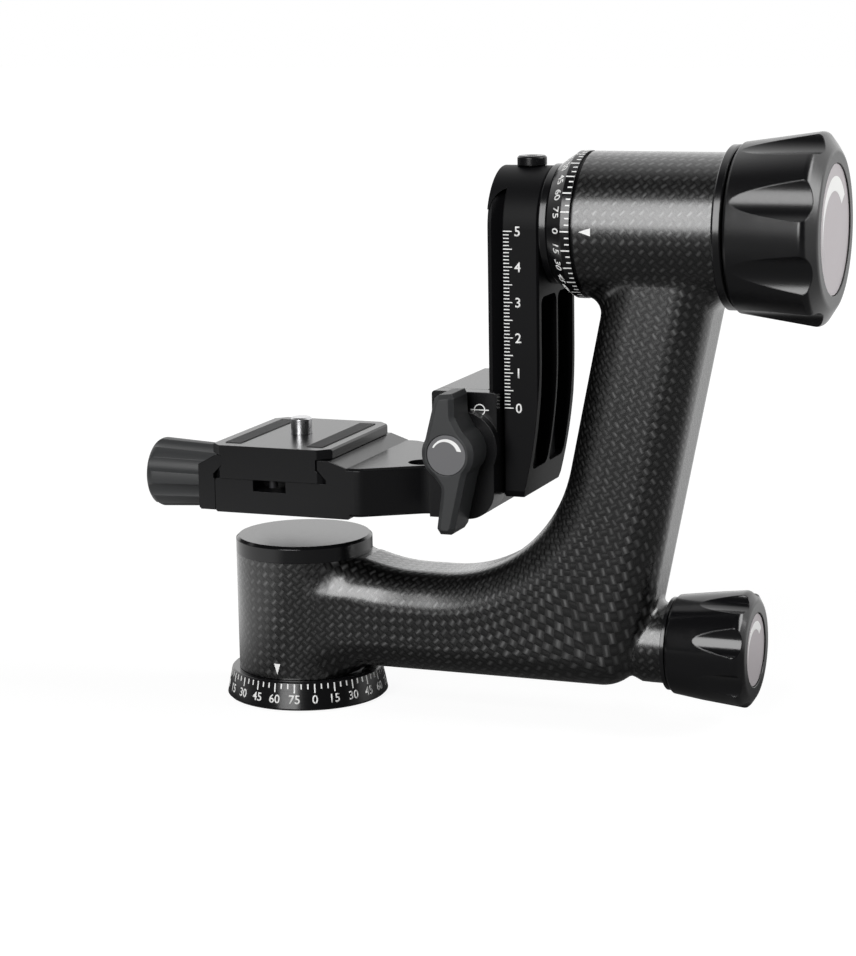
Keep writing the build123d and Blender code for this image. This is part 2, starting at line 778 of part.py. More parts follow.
def shape_rail_foot(body):
    """Curved taper of the back towards the foot, and the bevel along the foot's sides."""
    drop = rail_taper_start - rail_bottom
    radius = (drop ** 2 + rail_taper_depth ** 2) / (2 * rail_taper_depth)
    wedge = block(rail_front, rail_back + 1, -rail_half_width - 1, rail_half_width + 1,
                  rail_bottom - 1, rail_taper_start)
    wedge -= along_y(radius, -rail_half_width - 2, rail_half_width + 2, rail_back - radius,
                     rail_taper_start)
    body -= wedge
    bevel = rail_bottom_chamfer
    for side in (-1, 1):
        corner = Polyline((rail_front, side * rail_half_width, rail_bottom + bevel),
                          (rail_front, side * (rail_half_width + 1), rail_bottom + bevel),
                          (rail_front, side * (rail_half_width + 1), rail_bottom - 1),
                          (rail_front, side * (rail_half_width - bevel / 2), rail_bottom - 1),
                          (rail_front, side * (rail_half_width - bevel / 2), rail_bottom), close=True)
        body -= extrude(make_face(corner), amount=rail_back + 1 - rail_front, dir=(1, 0, 0))
    return body


def cut_rail_pockets(body):
    """Two long pockets in the back, either side of a thin rib."""
    inner, outer = rail_rib / 2, rail_half_width - pocket_wall
    for side in (-1, 1):
        sketch = Pos(side * (inner + outer) / 2, (pocket_bottom + pocket_top) / 2) * RectangleRounded(
            outer - inner, pocket_top - pocket_bottom, 2.5)
        body -= extrude(Plane.YZ.offset(rail_back - pocket_depth) * sketch, amount=pocket_depth + 1)
    return body


def cut_rail_holes(body):
    top = tilt_axis_height + rail_half_width
    body -= upright(top_screw_radius + running_fit, top - top_screw_depth - 1, top + 1, top_screw_place)
    for angle in rail_screw_angles():
        centre = tilt_axis_height + rail_screw_circle
        hole = along_x(rail_screw_radius, dovetail_face, rail_back, centre)
        hole += along_x(rail_screw_head_radius, dovetail_face - 1,
                        dovetail_face + rail_screw_head_height, centre)
        body -= around_x(hole, angle, tilt_axis_height)
    return body


def rail_screws():
    centre = tilt_axis_height + rail_screw_circle
    head_end = dovetail_face + rail_screw_head_height
    screw = along_x(rail_screw_head_radius, dovetail_face + open_gap, head_end, centre)
    socket = Plane.YZ.offset(dovetail_face + open_gap) * Pos(0, centre) * RegularPolygon(1.6, 6)
    screw -= extrude(socket, amount=1.3)
    screw += along_x(rail_screw_radius, head_end, rail_back + rail_screw_reach, centre)
    return Compound(children=[around_x(screw, angle, tilt_axis_height) for angle in rail_screw_angles()])


def rail_top_screw():
    """Socket screw on top of the rail."""
    seat = tilt_axis_height + rail_half_width + face_gap
    top = seat + top_screw_head_height
    head = upright(top_screw_head_radius, seat, top, top_screw_place)
    head = chamfer([e for e in head.edges() if e.center().Z > top - 0.01], top_screw_bevel)
    socket = Pos(top_screw_place, 0, top - top_screw_socket_depth) * RegularPolygon(
        top_screw_socket_radius, 6)
    head -= extrude(socket, amount=top_screw_socket_depth + 1)
    return head + upright(top_screw_radius, seat - face_gap - top_screw_depth, seat, top_screw_place)


# ---- Height block and jaw ------------------------------------------------------------------
def block_outline(end):
    """Side outline of the block and its jaws, with a large round at the lower corner."""
    top = block_bottom + block_height
    points = [(block_start, 0, block_bottom), (end, 0, block_bottom), (end, 0, top), (block_start, 0, top)]
    return make_face(FilletPolyline(*points, radius=[0, block_corner_radius, 1.0, 1.0], close=True))


def block_slab(y0, y1, end):
    return extrude(Pos(0, y1, 0) * block_outline(end), amount=y1 - y0, dir=(0, -1, 0))


def flank_offset():
    """Where a jaw's sloping face meets the jaw plane, measured along X."""
    return dovetail_face + dovetail_rim + dovetail_play * (math.sqrt(2) - 1)


def jaw_space(side):
    """Room for the rail's dovetail beside a jaw, seen from above, on one side."""
    turn = flank_offset()
    low, high = block_bottom - 1, block_bottom + block_height + 1
    tip = jaw_plane - (jaw_lip_reach + 1 - turn)
    outline = Polyline((block_front, 0, low), (block_front, side * jaw_plane, low),
                       (turn, side * jaw_plane, low), (jaw_lip_reach + 1, side * tip, low),
                       (jaw_lip_reach + 1, 0, low), close=True)
    return extrude(make_face(outline), amount=high - low, dir=(0, 0, 1))


def height_block():
    front_face = -jaw_plane + face_gap
    body = block_slab(front_face, jaw_plane + jaw_thickness, jaw_lip_reach)
    body -= jaw_space(1) + jaw_space(-1)
    body -= block(block_front, jaw_lip_reach + 1, front_face - 1, 0, block_bottom - 1,
                  block_bottom + block_height + 1)
    body -= along_y(lever_bolt_radius + running_fit, front_face, front_face + lever_bolt_reach + 1,
                    lever_axis_place, lever_axis_height)
    for height in jaw_pin_heights():
        body -= along_y(jaw_pin_radius, front_face, front_face + jaw_pin_length / 2,
                        lever_axis_place, height)
    return body


def jaw_pin_heights():
    return [lever_axis_height - jaw_pin_spacing / 2, lever_axis_height + jaw_pin_spacing / 2]


def height_jaw():
    """Front jaw: a hooked plate with a thick boss under the lever."""
    body = block_slab(jaw_front, -jaw_plane + jaw_thickness, jaw_lip_reach)
    body -= jaw_space(-1)
    body -= block(block_start - 1, block_front + 0.01, -jaw_plane, jaw_plane, block_bottom - 1,
                  block_bottom + block_height + 1)
    boss = block_slab(jaw_front - lever_boss_height, jaw_front, jaw_lip_reach)
    boss -= block(block_start - 1, jaw_lip_reach + 1, jaw_front - lever_boss_height - 1, jaw_front + 1,
                  lever_axis_height, block_bottom + block_height + 1)
    boss += along_y(lever_boss_radius, jaw_front - lever_boss_height, jaw_front,
                    lever_axis_place, lever_axis_height)
    body += boss
    body -= along_y(lever_bolt_radius + running_fit, jaw_front - lever_boss_height - 1, 0,
                    lever_axis_place, lever_axis_height)
    for height in jaw_pin_heights():
        body -= along_y(jaw_pin_radius + running_fit, -jaw_plane - jaw_pin_length / 2 + 1.0, 0,
                        lever_axis_place, height)
    return body


def height_jaw_pins():
    start = -jaw_plane + face_gap - jaw_pin_length / 2 + 1.5
    return Compound(children=[along_y(jaw_pin_radius, start, -jaw_plane + face_gap + jaw_pin_length / 2,
                                      lever_axis_place, height) for height in jaw_pin_heights()])


def lever_outline():
    """Two-armed lever: a round hub, a short arm above it and a long one below."""
    hub = Circle(lever_hub_radius)
    waist = lever_waist
    upper = make_face(Polyline((-7.0, 2.4), (-waist, lever_short - 1.0),
                               (-waist + 1.2, lever_short), (waist / 2 - 0.4, lever_short + 0.4),
                               (waist / 2 + 0.3, lever_short - 1.0),
                               (waist / 2 + 0.4, lever_short * 0.62), (6.6, 2.5), close=True))
    lower = make_face(Polyline((-6.0, -4.0), (-waist / 2, -lever_long * 0.42),
                               (-waist + 0.2, -lever_long * 0.93),
                               (-waist / 2 - 0.6, -lever_long), (waist / 2 - 1.0, -lever_long),
                               (waist / 2 + 0.1, -lever_long * 0.93), (5.0, -lever_long * 0.33),
                               (6.4, -2.0), close=True))
    outline = hub + upper + lower
    hollows = [v for v in outline.vertices() if lever_hub_radius - 1.5 < Vector(v).length < lever_short - 2]
    return fillet(hollows, 3.0)


def height_lever():
    place = Plane((lever_axis_place, lever_back, lever_axis_height), x_dir=(1, 0, 0), z_dir=(0, -1, 0))
    body = extrude(place * lever_outline(), amount=lever_thickness)
    front = [e for e in body.edges() if all(abs((e @ t).Y - lever_front) < 0.01 for t in (0.1, 0.5, 0.9))]
    body = chamfer(front, lever_edge_radius)
    recess = disc_thickness + 0.2
    body -= along_y(lever_disc_radius + 0.1, lever_front - 1, lever_front + recess,
                    lever_axis_place, lever_axis_height)
    return body - along_y(lever_bolt_radius, lever_front + recess + 1.5, lever_back + 1,
                          lever_axis_place, lever_axis_height)


def height_lever_bolt():
    return along_y(lever_bolt_radius, lever_front + disc_thickness + 1.7,
                   -jaw_plane + face_gap + lever_bolt_reach, lever_axis_place, lever_axis_height)


def height_lever_disc():
    return along_y(lever_disc_radius, lever_front + 0.2, lever_front + 0.2 + disc_thickness,
                   lever_axis_place, lever_axis_height)


# ---- Platform and plate clamp --------------------------------------------------------------
def platform_arm():
    wide, waist = clamp_half_length, platform_waist_half_width
    end = block_start + 1.0
    half = [(clamp_seat_end(), wide), (platform_taper_start, wide), (platform_taper_end, waist), (end, waist)]
    points = [(x, -y, platform_bottom) for x, y in half]
    points += [(x, y, platform_bottom) for x, y in reversed(half)]
    outline = FilletPolyline(*points, radius=[0, 5.0, 6.0, 0, 0, 6.0, 5.0, 0], close=True)
    body = extrude(make_face(outline), amount=platform_top - platform_bottom, dir=(0, 0, 1))
    rims = body.edges().group_by(Axis.Z)
    body = chamfer(ShapeList(rims[0] + rims[-1]), 0.7)
    for side in (-1, 1):
        body -= upright(platform_hole_radius, platform_bottom - 1, platform_top + 1,
                        platform_hole_place, side * platform_hole_offset)
    return body


def clamp_seat_end():
    return plate_foot_half_width + 1.5


def clamp_body():
    body = block(clamp_start, platform_taper_start - 3.0, -clamp_half_length, clamp_half_length,
                 clamp_bottom, clamp_seat)
    body = chamfer(body.edges().filter_by(Axis.Y), 0.5)
    for side in (-1, 1):
        edge = side * clamp_half_length
        inner = side * (clamp_half_length - clamp_notch_depth)
        body -= block(-clamp_notch_width / 2, clamp_notch_width / 2, min(inner, edge + side),
                      max(inner, edge + side), clamp_seat - clamp_notch_height, clamp_seat + 1)
    return body


def jaw_inner_profile():
    """Inner side of a plate jaw, as distance from the middle and height, seat to lip."""
    foot = plate_foot_half_width + face_gap
    neck = plate_neck_half_width + face_gap
    turn = plate_bottom + plate_foot_rim + face_gap / 2
    return [(foot, clamp_seat), (foot, turn), (neck, turn + foot - neck), (neck, lip_height)]


def fixed_jaw():
    points = jaw_inner_profile()
    points += [(plate_half_width, lip_height), (fixed_jaw_back, platform_top),
               (fixed_jaw_back, clamp_seat - 1.0), (plate_foot_half_width + face_gap, clamp_seat - 1.0)]
    return side_prism(points, -clamp_half_length, clamp_half_length)


def cradle():
    body = clamp_body() + platform_arm() + fixed_jaw() + height_block()
    depth = clamp_start + clamp_screw_length
    body -= along_x(clamp_screw_radius + running_fit, clamp_start - 1, depth, clamp_screw_height)
    for y in clamp_pin_places():
        body -= along_x(clamp_pin_radius + running_fit, clamp_start - 1, clamp_start + clamp_pin_length,
                        clamp_screw_height - 1.0, y)
    return body


def clamp_pin_places():
    return [-clamp_pin_spacing / 2, clamp_pin_spacing / 2]


def clamp_jaw():
    back = clamp_jaw_end - clamp_jaw_thickness
    points = [(-x, z) for x, z in jaw_inner_profile()]
    points[0] = (points[0][0], clamp_seat - face_gap)
    points += [(-(plate_neck_half_width + 2.2), lip_height), (back, clamp_jaw_shoulder),
               (back, clamp_jaw_bottom + 0.6), (back + 0.6, clamp_jaw_bottom),
               (clamp_jaw_end, clamp_jaw_bottom), (clamp_jaw_end, clamp_seat - face_gap)]
    body = side_prism(points, -clamp_half_length, clamp_half_length)
    body -= along_x(clamp_screw_radius, back, clamp_jaw_end + 1, clamp_screw_height)
    for y in clamp_pin_places():
        body -= along_x(clamp_pin_radius, back + 1.5, clamp_jaw_end, clamp_screw_height - 1.0, y)
    return body


def clamp_jaw_pins():
    start = clamp_jaw_end - clamp_jaw_thickness + 1.5
    end = clamp_start + clamp_pin_length - 1.0
    return Compound(children=[along_x(clamp_pin_radius, start, end, clamp_screw_height - 1.0, y)
                              for y in clamp_pin_places()])


def clamp_knob_end():
    return clamp_jaw_end - clamp_jaw_thickness - clamp_washer_thickness - face_gap


def clamp_washer():
    end = clamp_jaw_end - clamp_jaw_thickness - face_gap / 2
    body = along_x(clamp_washer_radius, end - clamp_washer_thickness, end, clamp_screw_height)
    return body - along_x(clamp_screw_radius, end - clamp_washer_thickness, end, clamp_screw_height)


def clamp_knob():
    """Lobed grip, a little narrower towards the jaw, with a domed outer end."""
    end = clamp_knob_end()
    start = end - clamp_knob_length
    body = turned_along_x([(start, 0), (start, clamp_knob_radius), (end, clamp_knob_neck_radius), (end, 0)],
                          clamp_screw_height)
    outer = [e for e in body.edges().filter_by(GeomType.CIRCLE) if abs(e.center().X - start) < 0.01]
    body = fillet(outer, 2.6)
    slope = math.degrees(math.atan2(clamp_knob_radius - clamp_knob_neck_radius, clamp_knob_length))
    bar = along_x(clamp_knob_groove_radius, -clamp_knob_length, 2 * clamp_knob_length,
                  clamp_knob_groove_radius - clamp_knob_groove_depth)
    cutter = Pos(start, 0, clamp_screw_height + clamp_knob_radius) * Rot(0, slope, 0) * bar
    for number in range(clamp_knob_lobes):
        body -= around_x(cutter, (number + 0.5) * 360 / clamp_knob_lobes, clamp_screw_height)
    return body - along_x(clamp_knob_core_radius, start + 3.0, end, clamp_screw_height)


def clamp_knob_core():
    start = clamp_knob_end() - clamp_knob_length + 3.0
    body = along_x(clamp_knob_core_radius, start, clamp_knob_end(), clamp_screw_height)
    return body - along_x(clamp_screw_radius, start, clamp_knob_end(), clamp_screw_height)


def clamp_screw():
    start = clamp_knob_end() - clamp_knob_length + 3.0
    return along_x(clamp_screw_radius, start, clamp_start + clamp_screw_length - 1.0, clamp_screw_height)


# ---- Quick-release plate -------------------------------------------------------------------
def quick_release_plate():
    flange_bottom = plate_top - plate_flange
    half = [(plate_foot_half_width, plate_bottom), (plate_foot_half_width, plate_bottom + plate_foot_rim),
            (plate_neck_half_width, groove_bottom), (plate_neck_half_width, flange_bottom),
            (plate_half_width, flange_bottom), (plate_half_width, plate_top - 0.5),
            (plate_half_width - 0.5, plate_top)]
    points = half + [(-x, z) for x, z in reversed(half)]
    body = side_prism(points, -plate_half_length, plate_half_length)
    for x_side in (-1, 1):
        for y_side in (-1, 1):
            x, y = x_side * plate_half_width, y_side * plate_half_length
            corner = Polyline((x + x_side, y + y_side, 0), (x + x_side, y - y_side * plate_corner, 0),
                              (x, y - y_side * plate_corner, 0), (x - x_side * plate_corner, y, 0),
                              (x - x_side * plate_corner, y + y_side, 0), close=True)
            body -= extrude(make_face(corner), amount=plate_top + 1, dir=(0, 0, 1))
    body -= upright(camera_screw_radius + running_fit, 0, plate_top + 1)
    body -= upright(camera_screw_head_radius + open_gap, 0, plate_bottom + camera_screw_head_height + 0.4)
    for pad in pad_blocks(0):
        body -= pad
    for y in stop_screw_places():
        body -= upright(stop_screw_radius, 0, plate_bottom + 3.0, 0, y)
    return body


def pad_blocks(proud):
    outer = plate_half_width - pad_inset
    length = plate_half_length - plate_corner - 1.0
    spans = [(-outer, -outer + pad_width), (outer - pad_width, outer)]
    return [block(x0, x1, -length, length, plate_top - pad_recess, plate_top + proud) for x0, x1 in spans]


def plate_pads():
    return Compound(children=pad_blocks(0.2))


def camera_screw():
    """Captive screw: a slotted head, a thin neck in the plate and the camera thread above it."""
    head_bottom = plate_bottom + 0.2
    body = upright(camera_screw_head_radius, head_bottom, head_bottom + camera_screw_head_height)
    body -= block(-camera_screw_head_radius, camera_screw_head_radius, -0.8, 0.8, head_bottom - 1,
                  head_bottom + 1.2)
    body += upright(camera_screw_neck_radius, head_bottom + camera_screw_head_height, plate_top)
    thread = upright(camera_screw_radius, plate_top, plate_top + camera_screw_height)
    return body + chamfer(thread.edges().group_by(Axis.Z)[-1], 0.5)


def stop_screw_places():
    place = plate_half_length - stop_screw_inset
    return [-place, place]


def plate_stop_screws():
    return Compound(children=[upright(stop_screw_radius, plate_bottom - stop_screw_drop, plate_bottom + 3.0,
                                      0, y) for y in stop_screw_places()])


parts = {
    "base_plate": base_plate,
    "tripod_thread_bush": tripod_thread_bush,
    "base_screws": base_screws,
    "pan_dial_ring": pan_dial_ring,
    "pan_spindle": pan_spindle,
    "pan_bearing_inners": lambda: upright_rings(inner_race_profile, (lower_bearing, upper_bearing)),
    "pan_brake_drum": pan_brake_drum,
    "pan_ring_nut": pan_ring_nut,
    "carbon_arm": carbon_arm,
    "pan_hub_sleeve": pan_hub_sleeve,
    "pan_bearing_outers": lambda: upright_rings(outer_race_profile, (lower_bearing, upper_bearing)),
    "pan_cap": pan_cap,
    "tilt_hub_sleeve": tilt_hub_sleeve,
    "tilt_bearing_outers": lambda: level_rings(outer_race_profile, (left_bearing, right_bearing)),
    "pan_knob_bush": pan_knob_bush,
    "pan_brake_shoe": pan_brake_shoe,
    "pan_brake_screw": pan_brake_screw,
    "pan_knob": pan_knob,
    "pan_knob_core": pan_knob_core,
    "pan_knob_disc": pan_knob_disc,
    "tilt_spindle": tilt_spindle,
    "tilt_bearing_inners": lambda: level_rings(inner_race_profile, (left_bearing, right_bearing)),
    "tilt_bearing_spacer": tilt_bearing_spacer,
    "tilt_dial": tilt_dial,
    "tilt_key": tilt_key,
    "tilt_friction_washer": tilt_friction_washer,
    "tilt_collar": tilt_collar,
    "tilt_knob": tilt_knob,
    "tilt_knob_core": tilt_knob_core,
    "tilt_knob_disc": tilt_knob_disc,
    "tilt_end_washer": tilt_end_washer,
    "tilt_end_screw": tilt_end_screw,
    "swing_rail": swing_rail,
    "rail_screws": rail_screws,
    "rail_top_screw": rail_top_screw,
    "cradle": cradle,
    "height_jaw_pins": height_jaw_pins,
    "height_jaw": height_jaw,
    "height_lever": height_lever,
    "height_lever_bolt": height_lever_bolt,
    "height_lever_disc": height_lever_disc,
    "clamp_jaw": clamp_jaw,
    "clamp_jaw_pins": clamp_jaw_pins,
    "clamp_screw": clamp_screw,
    "clamp_washer": clamp_washer,
    "clamp_knob": clamp_knob,
    "clamp_knob_core": clamp_knob_core,
    "quick_release_plate": quick_release_plate,
    "plate_pads": plate_pads,
    "camera_screw": camera_screw,
    "plate_stop_screws": plate_stop_screws,
}

os.makedirs("parts", exist_ok=True)
for name, make in parts.items():
    export_step(make(), f"parts/{name}.step")
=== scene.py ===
import math

import bmesh
import bpy
from mathutils import Matrix, Vector


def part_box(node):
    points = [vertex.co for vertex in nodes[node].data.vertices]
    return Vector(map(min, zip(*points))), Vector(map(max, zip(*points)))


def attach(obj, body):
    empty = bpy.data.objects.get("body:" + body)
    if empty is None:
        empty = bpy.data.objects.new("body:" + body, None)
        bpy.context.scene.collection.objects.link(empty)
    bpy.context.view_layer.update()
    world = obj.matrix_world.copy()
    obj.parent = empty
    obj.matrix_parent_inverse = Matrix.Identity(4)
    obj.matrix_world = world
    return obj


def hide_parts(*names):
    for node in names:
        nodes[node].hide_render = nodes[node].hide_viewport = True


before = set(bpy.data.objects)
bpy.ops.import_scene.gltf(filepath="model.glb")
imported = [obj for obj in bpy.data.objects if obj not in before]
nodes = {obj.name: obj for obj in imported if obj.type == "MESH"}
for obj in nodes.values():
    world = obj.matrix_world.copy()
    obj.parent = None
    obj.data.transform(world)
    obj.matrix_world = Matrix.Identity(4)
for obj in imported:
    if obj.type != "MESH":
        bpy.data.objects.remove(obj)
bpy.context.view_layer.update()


# ---- Foot plate and pan dial ------------------------------------------------------------------
# The head stands on a turned aluminium foot, anodised satin black, with a conical dial ring
# pressed round it. The degree marks are cut into the ring and filled with white paint.
def new_finish(name, colour, roughness, metallic=0.0):
    """A finish of one plain colour, which the pattern nodes build on."""
    finish = bpy.data.materials.new(name)
    finish.use_nodes = True
    shader = finish.node_tree.nodes["Principled BSDF"]
    shader.inputs["Base Color"].default_value = (*colour, 1.0)
    shader.inputs["Roughness"].default_value = roughness
    shader.inputs["Metallic"].default_value = metallic
    return finish, shader


def add_node(finish, kind, inputs=None, **settings):
    """Adds a node; each input is a number, a colour or another node's output."""
    made = finish.node_tree.nodes.new(kind)
    for key, value in settings.items():
        setattr(made, key, value)
    for key, value in (inputs or {}).items():
        if isinstance(value, bpy.types.NodeSocket):
            finish.node_tree.links.new(value, made.inputs[key])
        else:
            made.inputs[key].default_value = value
    return made


def math_node(finish, operation, *values):
    """Result of a maths node on numbers or outputs."""
    return add_node(finish, "ShaderNodeMath", dict(enumerate(values)), operation=operation).outputs[0]


def give_normal(finish, shader, height, depth, edge=0.0):
    """Relief of a height pattern on the surface, with the sharp edges eased by a radius."""
    relief = add_node(finish, "ShaderNodeBump", {"Height": height, "Strength": 1.0, "Distance": depth})
    if edge:
        eased = add_node(finish, "ShaderNodeBevel", {"Radius": edge}, samples=6)
        finish.node_tree.links.new(eased.outputs[0], relief.inputs["Normal"])
    finish.node_tree.links.new(relief.outputs[0], shader.inputs["Normal"])


def vary_roughness(finish, shader, pattern, low, high):
    """Roughness that follows a pattern between two values."""
    span = add_node(finish, "ShaderNodeMapRange", {"Value": pattern, "To Min": low, "To Max": high})
    finish.node_tree.links.new(span.outputs[0], shader.inputs["Roughness"])


def metal_grain(finish, size):
    """Fine even grain of a blasted or cast surface."""
    place = add_node(finish, "ShaderNodeTexCoord").outputs["Object"]
    grain = add_node(finish, "ShaderNodeTexNoise",
                     {"Vector": place, "Scale": 1.0 / size, "Detail": 3.0, "Roughness": 0.6})
    return grain.outputs[0]


def lathe_lines(finish, axis, height, size):
    """Fine rings left by turning about an upright axis, or one along X at a height."""
    place = add_node(finish, "ShaderNodeTexCoord").outputs["Object"]
    centred = add_node(finish, "ShaderNodeVectorMath", {0: place, 1: (0, 0, height)},
                       operation="SUBTRACT").outputs[0]
    across = (1, 1, 0) if axis == "Z" else (0, 1, 1)
    flat = add_node(finish, "ShaderNodeVectorMath", {0: centred, 1: across},
                    operation="MULTIPLY").outputs[0]
    radius = add_node(finish, "ShaderNodeVectorMath", {0: flat}, operation="LENGTH").outputs["Value"]
    along = add_node(finish, "ShaderNodeSeparateXYZ", {0: place}).outputs[axis]
    joined = add_node(finish, "ShaderNodeCombineXYZ", {"X": radius, "Y": along}).outputs[0]
    lines = add_node(finish, "ShaderNodeTexNoise",
                     {"Vector": joined, "Scale": 1.0 / size, "Detail": 2.0, "Roughness": 0.7},
                     noise_dimensions="2D")
    return lines.outputs[0]


def turned_finish(name, colour, metallic, axis, height, rings, roughness, depth, edge):
    """Finish with a lathe's rings about an axis, of a size and depth, and its edges eased."""
    finish, shader = new_finish(name, colour, roughness[0], metallic)
    pattern = lathe_lines(finish, axis, height, rings)
    vary_roughness(finish, shader, pattern, *roughness)
    give_normal(finish, shader, pattern, depth, edge)
    return finish


def grained_finish(name, colour, metallic, grain, roughness, depth, edge, gleam=0.5):
    """Finish with an even grain, of a size and depth, its edges eased and its gleam set."""
    finish, shader = new_finish(name, colour, roughness[0], metallic)
    pattern = metal_grain(finish, grain)
    vary_roughness(finish, shader, pattern, *roughness)
    give_normal(finish, shader, pattern, depth, edge)
    shader.inputs["Specular IOR Level"].default_value = gleam
    return finish


anodised_tone = (0.0045, 0.0045, 0.005)


def turned_black(name, axis, height=0.0):
    """Satin black anodise on a turned piece."""
    return turned_finish(name, anodised_tone, 0.0, axis, height, 0.00022, (0.15, 0.24), 0.0000012, 0.00025)


def dress(finish, *names):
    """Puts a finish on CAD parts."""
    for name in names:
        part = nodes[name]
        for slot in part.material_slots:
            slot.material = finish
        if not part.material_slots:
            part.data.materials.append(finish)


pan_turned_black = turned_black("turned_black_anodise_pan", "Z")
dress(pan_turned_black, "base_plate", "pan_dial_ring")

dial_foot_radius, dial_foot_height = 0.0243, 0.0009
dial_lip_radius, dial_lip_height = 0.0228, 0.0083
dial_lean = math.degrees(math.atan2(dial_lip_radius - dial_foot_radius, dial_lip_height - dial_foot_height))
paint_thickness = 0.00008
paint_stand = 0.00003
paint_depth = paint_thickness - paint_stand

white_fill, white_shader = new_finish("white_filled_marks", (0.83, 0.83, 0.82), 0.5)
give_normal(white_fill, white_shader, metal_grain(white_fill, 0.00012), 0.000006)


def clear_selection():
    """Leaves edit mode and deselects every object."""
    if bpy.context.object and bpy.context.object.mode != "OBJECT":
        bpy.ops.object.mode_set(mode="OBJECT")
    bpy.ops.object.select_all(action="DESELECT")


def thicken(move):
    """Gives the flat mark in edit mode its thickness, and turns its faces outward."""
    bpy.ops.mesh.select_all(action="SELECT")
    bpy.ops.mesh.extrude_region_move(TRANSFORM_OT_translate={"value": move})
    bpy.ops.mesh.select_all(action="SELECT")
    bpy.ops.mesh.normals_make_consistent(inside=False)
    bpy.ops.object.mode_set(mode="OBJECT")


def painted_number(text, height):
    """A number as a thin slab standing in the XZ plane, its face towards -Y."""
    clear_selection()
    bpy.ops.object.text_add()
    made = bpy.context.object
    made.data.body = text
    made.data.align_x = "CENTER"
    made.data.align_y = "CENTER"
    made.data.offset = 0.012
    made.data.resolution_u = 5
    bpy.ops.object.convert(target="MESH")
    corners = [v.co for v in made.data.vertices]
    low = Vector(min(c[i] for c in corners) for i in range(3))
    high = Vector(max(c[i] for c in corners) for i in range(3))
    made.data.transform(Matrix.Rotation(math.pi / 2, 4, "X") @ Matrix.Scale(height / (high.y - low.y), 4)
                        @ Matrix.Translation(-(low + high) / 2))
    bpy.ops.object.mode_set(mode="EDIT")
    bpy.ops.mesh.select_all(action="SELECT")
    bpy.ops.mesh.remove_doubles(threshold=0.000001)
    thicken((0, -paint_thickness, 0))
    return made


def painted_line(width, length):
    """A filled line as a thin slab in the XZ plane, upright, with eased corners."""
    clear_selection()
    bpy.ops.mesh.primitive_cube_add(size=1.0)
    made = bpy.context.object
    made.data.transform(Matrix.Diagonal((width, paint_thickness, length, 1.0)))
    ease = made.modifiers.new("eased_corners", "BEVEL")
    ease.width = width * 0.2
    ease.segments = 2
    bpy.ops.object.modifier_apply(modifier=ease.name)
    made.data.transform(Matrix.Translation((0, -paint_thickness / 2, 0)))
    return made


def rolled(made, radius):
    """Rolls a flat slab to the dial's radius, about an axis behind its face."""
    width = made.dimensions.x
    clear_selection()
    made.select_set(True)
    bpy.context.view_layer.objects.active = made
    roll = made.modifiers.new("roll", "SIMPLE_DEFORM")
    roll.deform_method = "BEND"
    roll.deform_axis = "Z"
    roll.angle = width / radius
    bpy.ops.object.modifier_apply(modifier=roll.name)
    return made


def round_place(radius, height, angle, lean=0.0):
    """Place on a dial: angle from -Y towards +X, lean of the face about its own width."""
    turned = Matrix.Rotation(math.radians(angle), 4, "Z")
    return (turned @ Matrix.Translation((0, paint_depth - radius, height))
            @ Matrix.Rotation(math.radians(lean), 4, "X"))


def copies_of(pattern, places):
    """One copy of a mark at each place, each with its own mesh."""
    made = []
    for place in places:
        copy = bpy.data.objects.new(pattern.name, pattern.data.copy())
        bpy.context.scene.collection.objects.link(copy)
        copy.data.transform(place)
        made.append(copy)
    bpy.data.objects.remove(pattern)
    return made


def one_piece(name, pieces, finish, body):
    """Joins marks into one piece with its finish, riding on a body."""
    clear_selection()
    for piece in pieces:
        piece.select_set(True)
    bpy.context.view_layer.objects.active = pieces[0]
    if len(pieces) > 1:
        bpy.ops.object.join()
    made = bpy.context.object
    made.name = name
    made.data.name = name
    made.data.materials.clear()
    made.data.materials.append(finish)
    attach(made, body)
    return made


def dial_radius(height):
    """Radius of the pan dial's cone at a height."""
    share = (height - dial_foot_height) / (dial_lip_height - dial_foot_height)
    return dial_foot_radius + (dial_lip_radius - dial_foot_radius) * share


tick_width = 0.00042


def degree_marks(long_tick, short_tick, zero, radius_at, lean=0.0, stand=Matrix()):
    """Marks round a dial, a long one every 15 degrees and two short ones between."""
    marks = []
    for first, (low, high) in ((0, long_tick), (5, short_tick), (10, short_tick)):
        middle = (low + high) / 2
        marks += copies_of(painted_line(tick_width, (high - low) / math.cos(math.radians(lean))),
                           [stand @ round_place(radius_at(middle), middle, zero + angle, lean)
                            for angle in range(first, 360, 15)])
    return marks


def degree_numbers(digit_height, middle, radius, zero, lean, stand=Matrix()):
    """Numbers round a dial, from 0 to 75 four times over."""
    marks = []
    for count in range(6):
        label = rolled(painted_number(str(15 * count), digit_height), radius)
        marks += copies_of(label, [stand @ round_place(radius, middle, zero + 15 * count + 90 * turn, lean)
                                   for turn in range(4)])
    return marks


pan_zero = 28.7
pan_long_tick = (0.0056, 0.0082)
pan_short_tick = (0.0067, 0.0082)
pan_number_height = 0.0037
pan_marks = degree_marks(pan_long_tick, pan_short_tick, pan_zero, dial_radius, dial_lean)
pan_marks += degree_numbers(0.0026, pan_number_height, dial_radius(pan_number_height), pan_zero, dial_lean)
one_piece("pan_dial_marks", pan_marks, white_fill, "base")


steel_tone = (0.55, 0.55, 0.56)


def turned_steel(name, axis, height=0.0):
    """Steel, turned and left bright."""
    return turned_finish(name, steel_tone, 1.0, axis, height, 0.0003, (0.18, 0.38), 0.000004, 0.0002)


pan_steel = turned_steel("turned_steel_pan", "Z")
dress(pan_steel, "tripod_thread_bush")
black_oxide = grained_finish("black_oxide_screws", (0.03, 0.03, 0.032), 0.6, 0.0002, (0.3, 0.5),
                             0.000005, 0.0002)
dress(black_oxide, "base_screws")

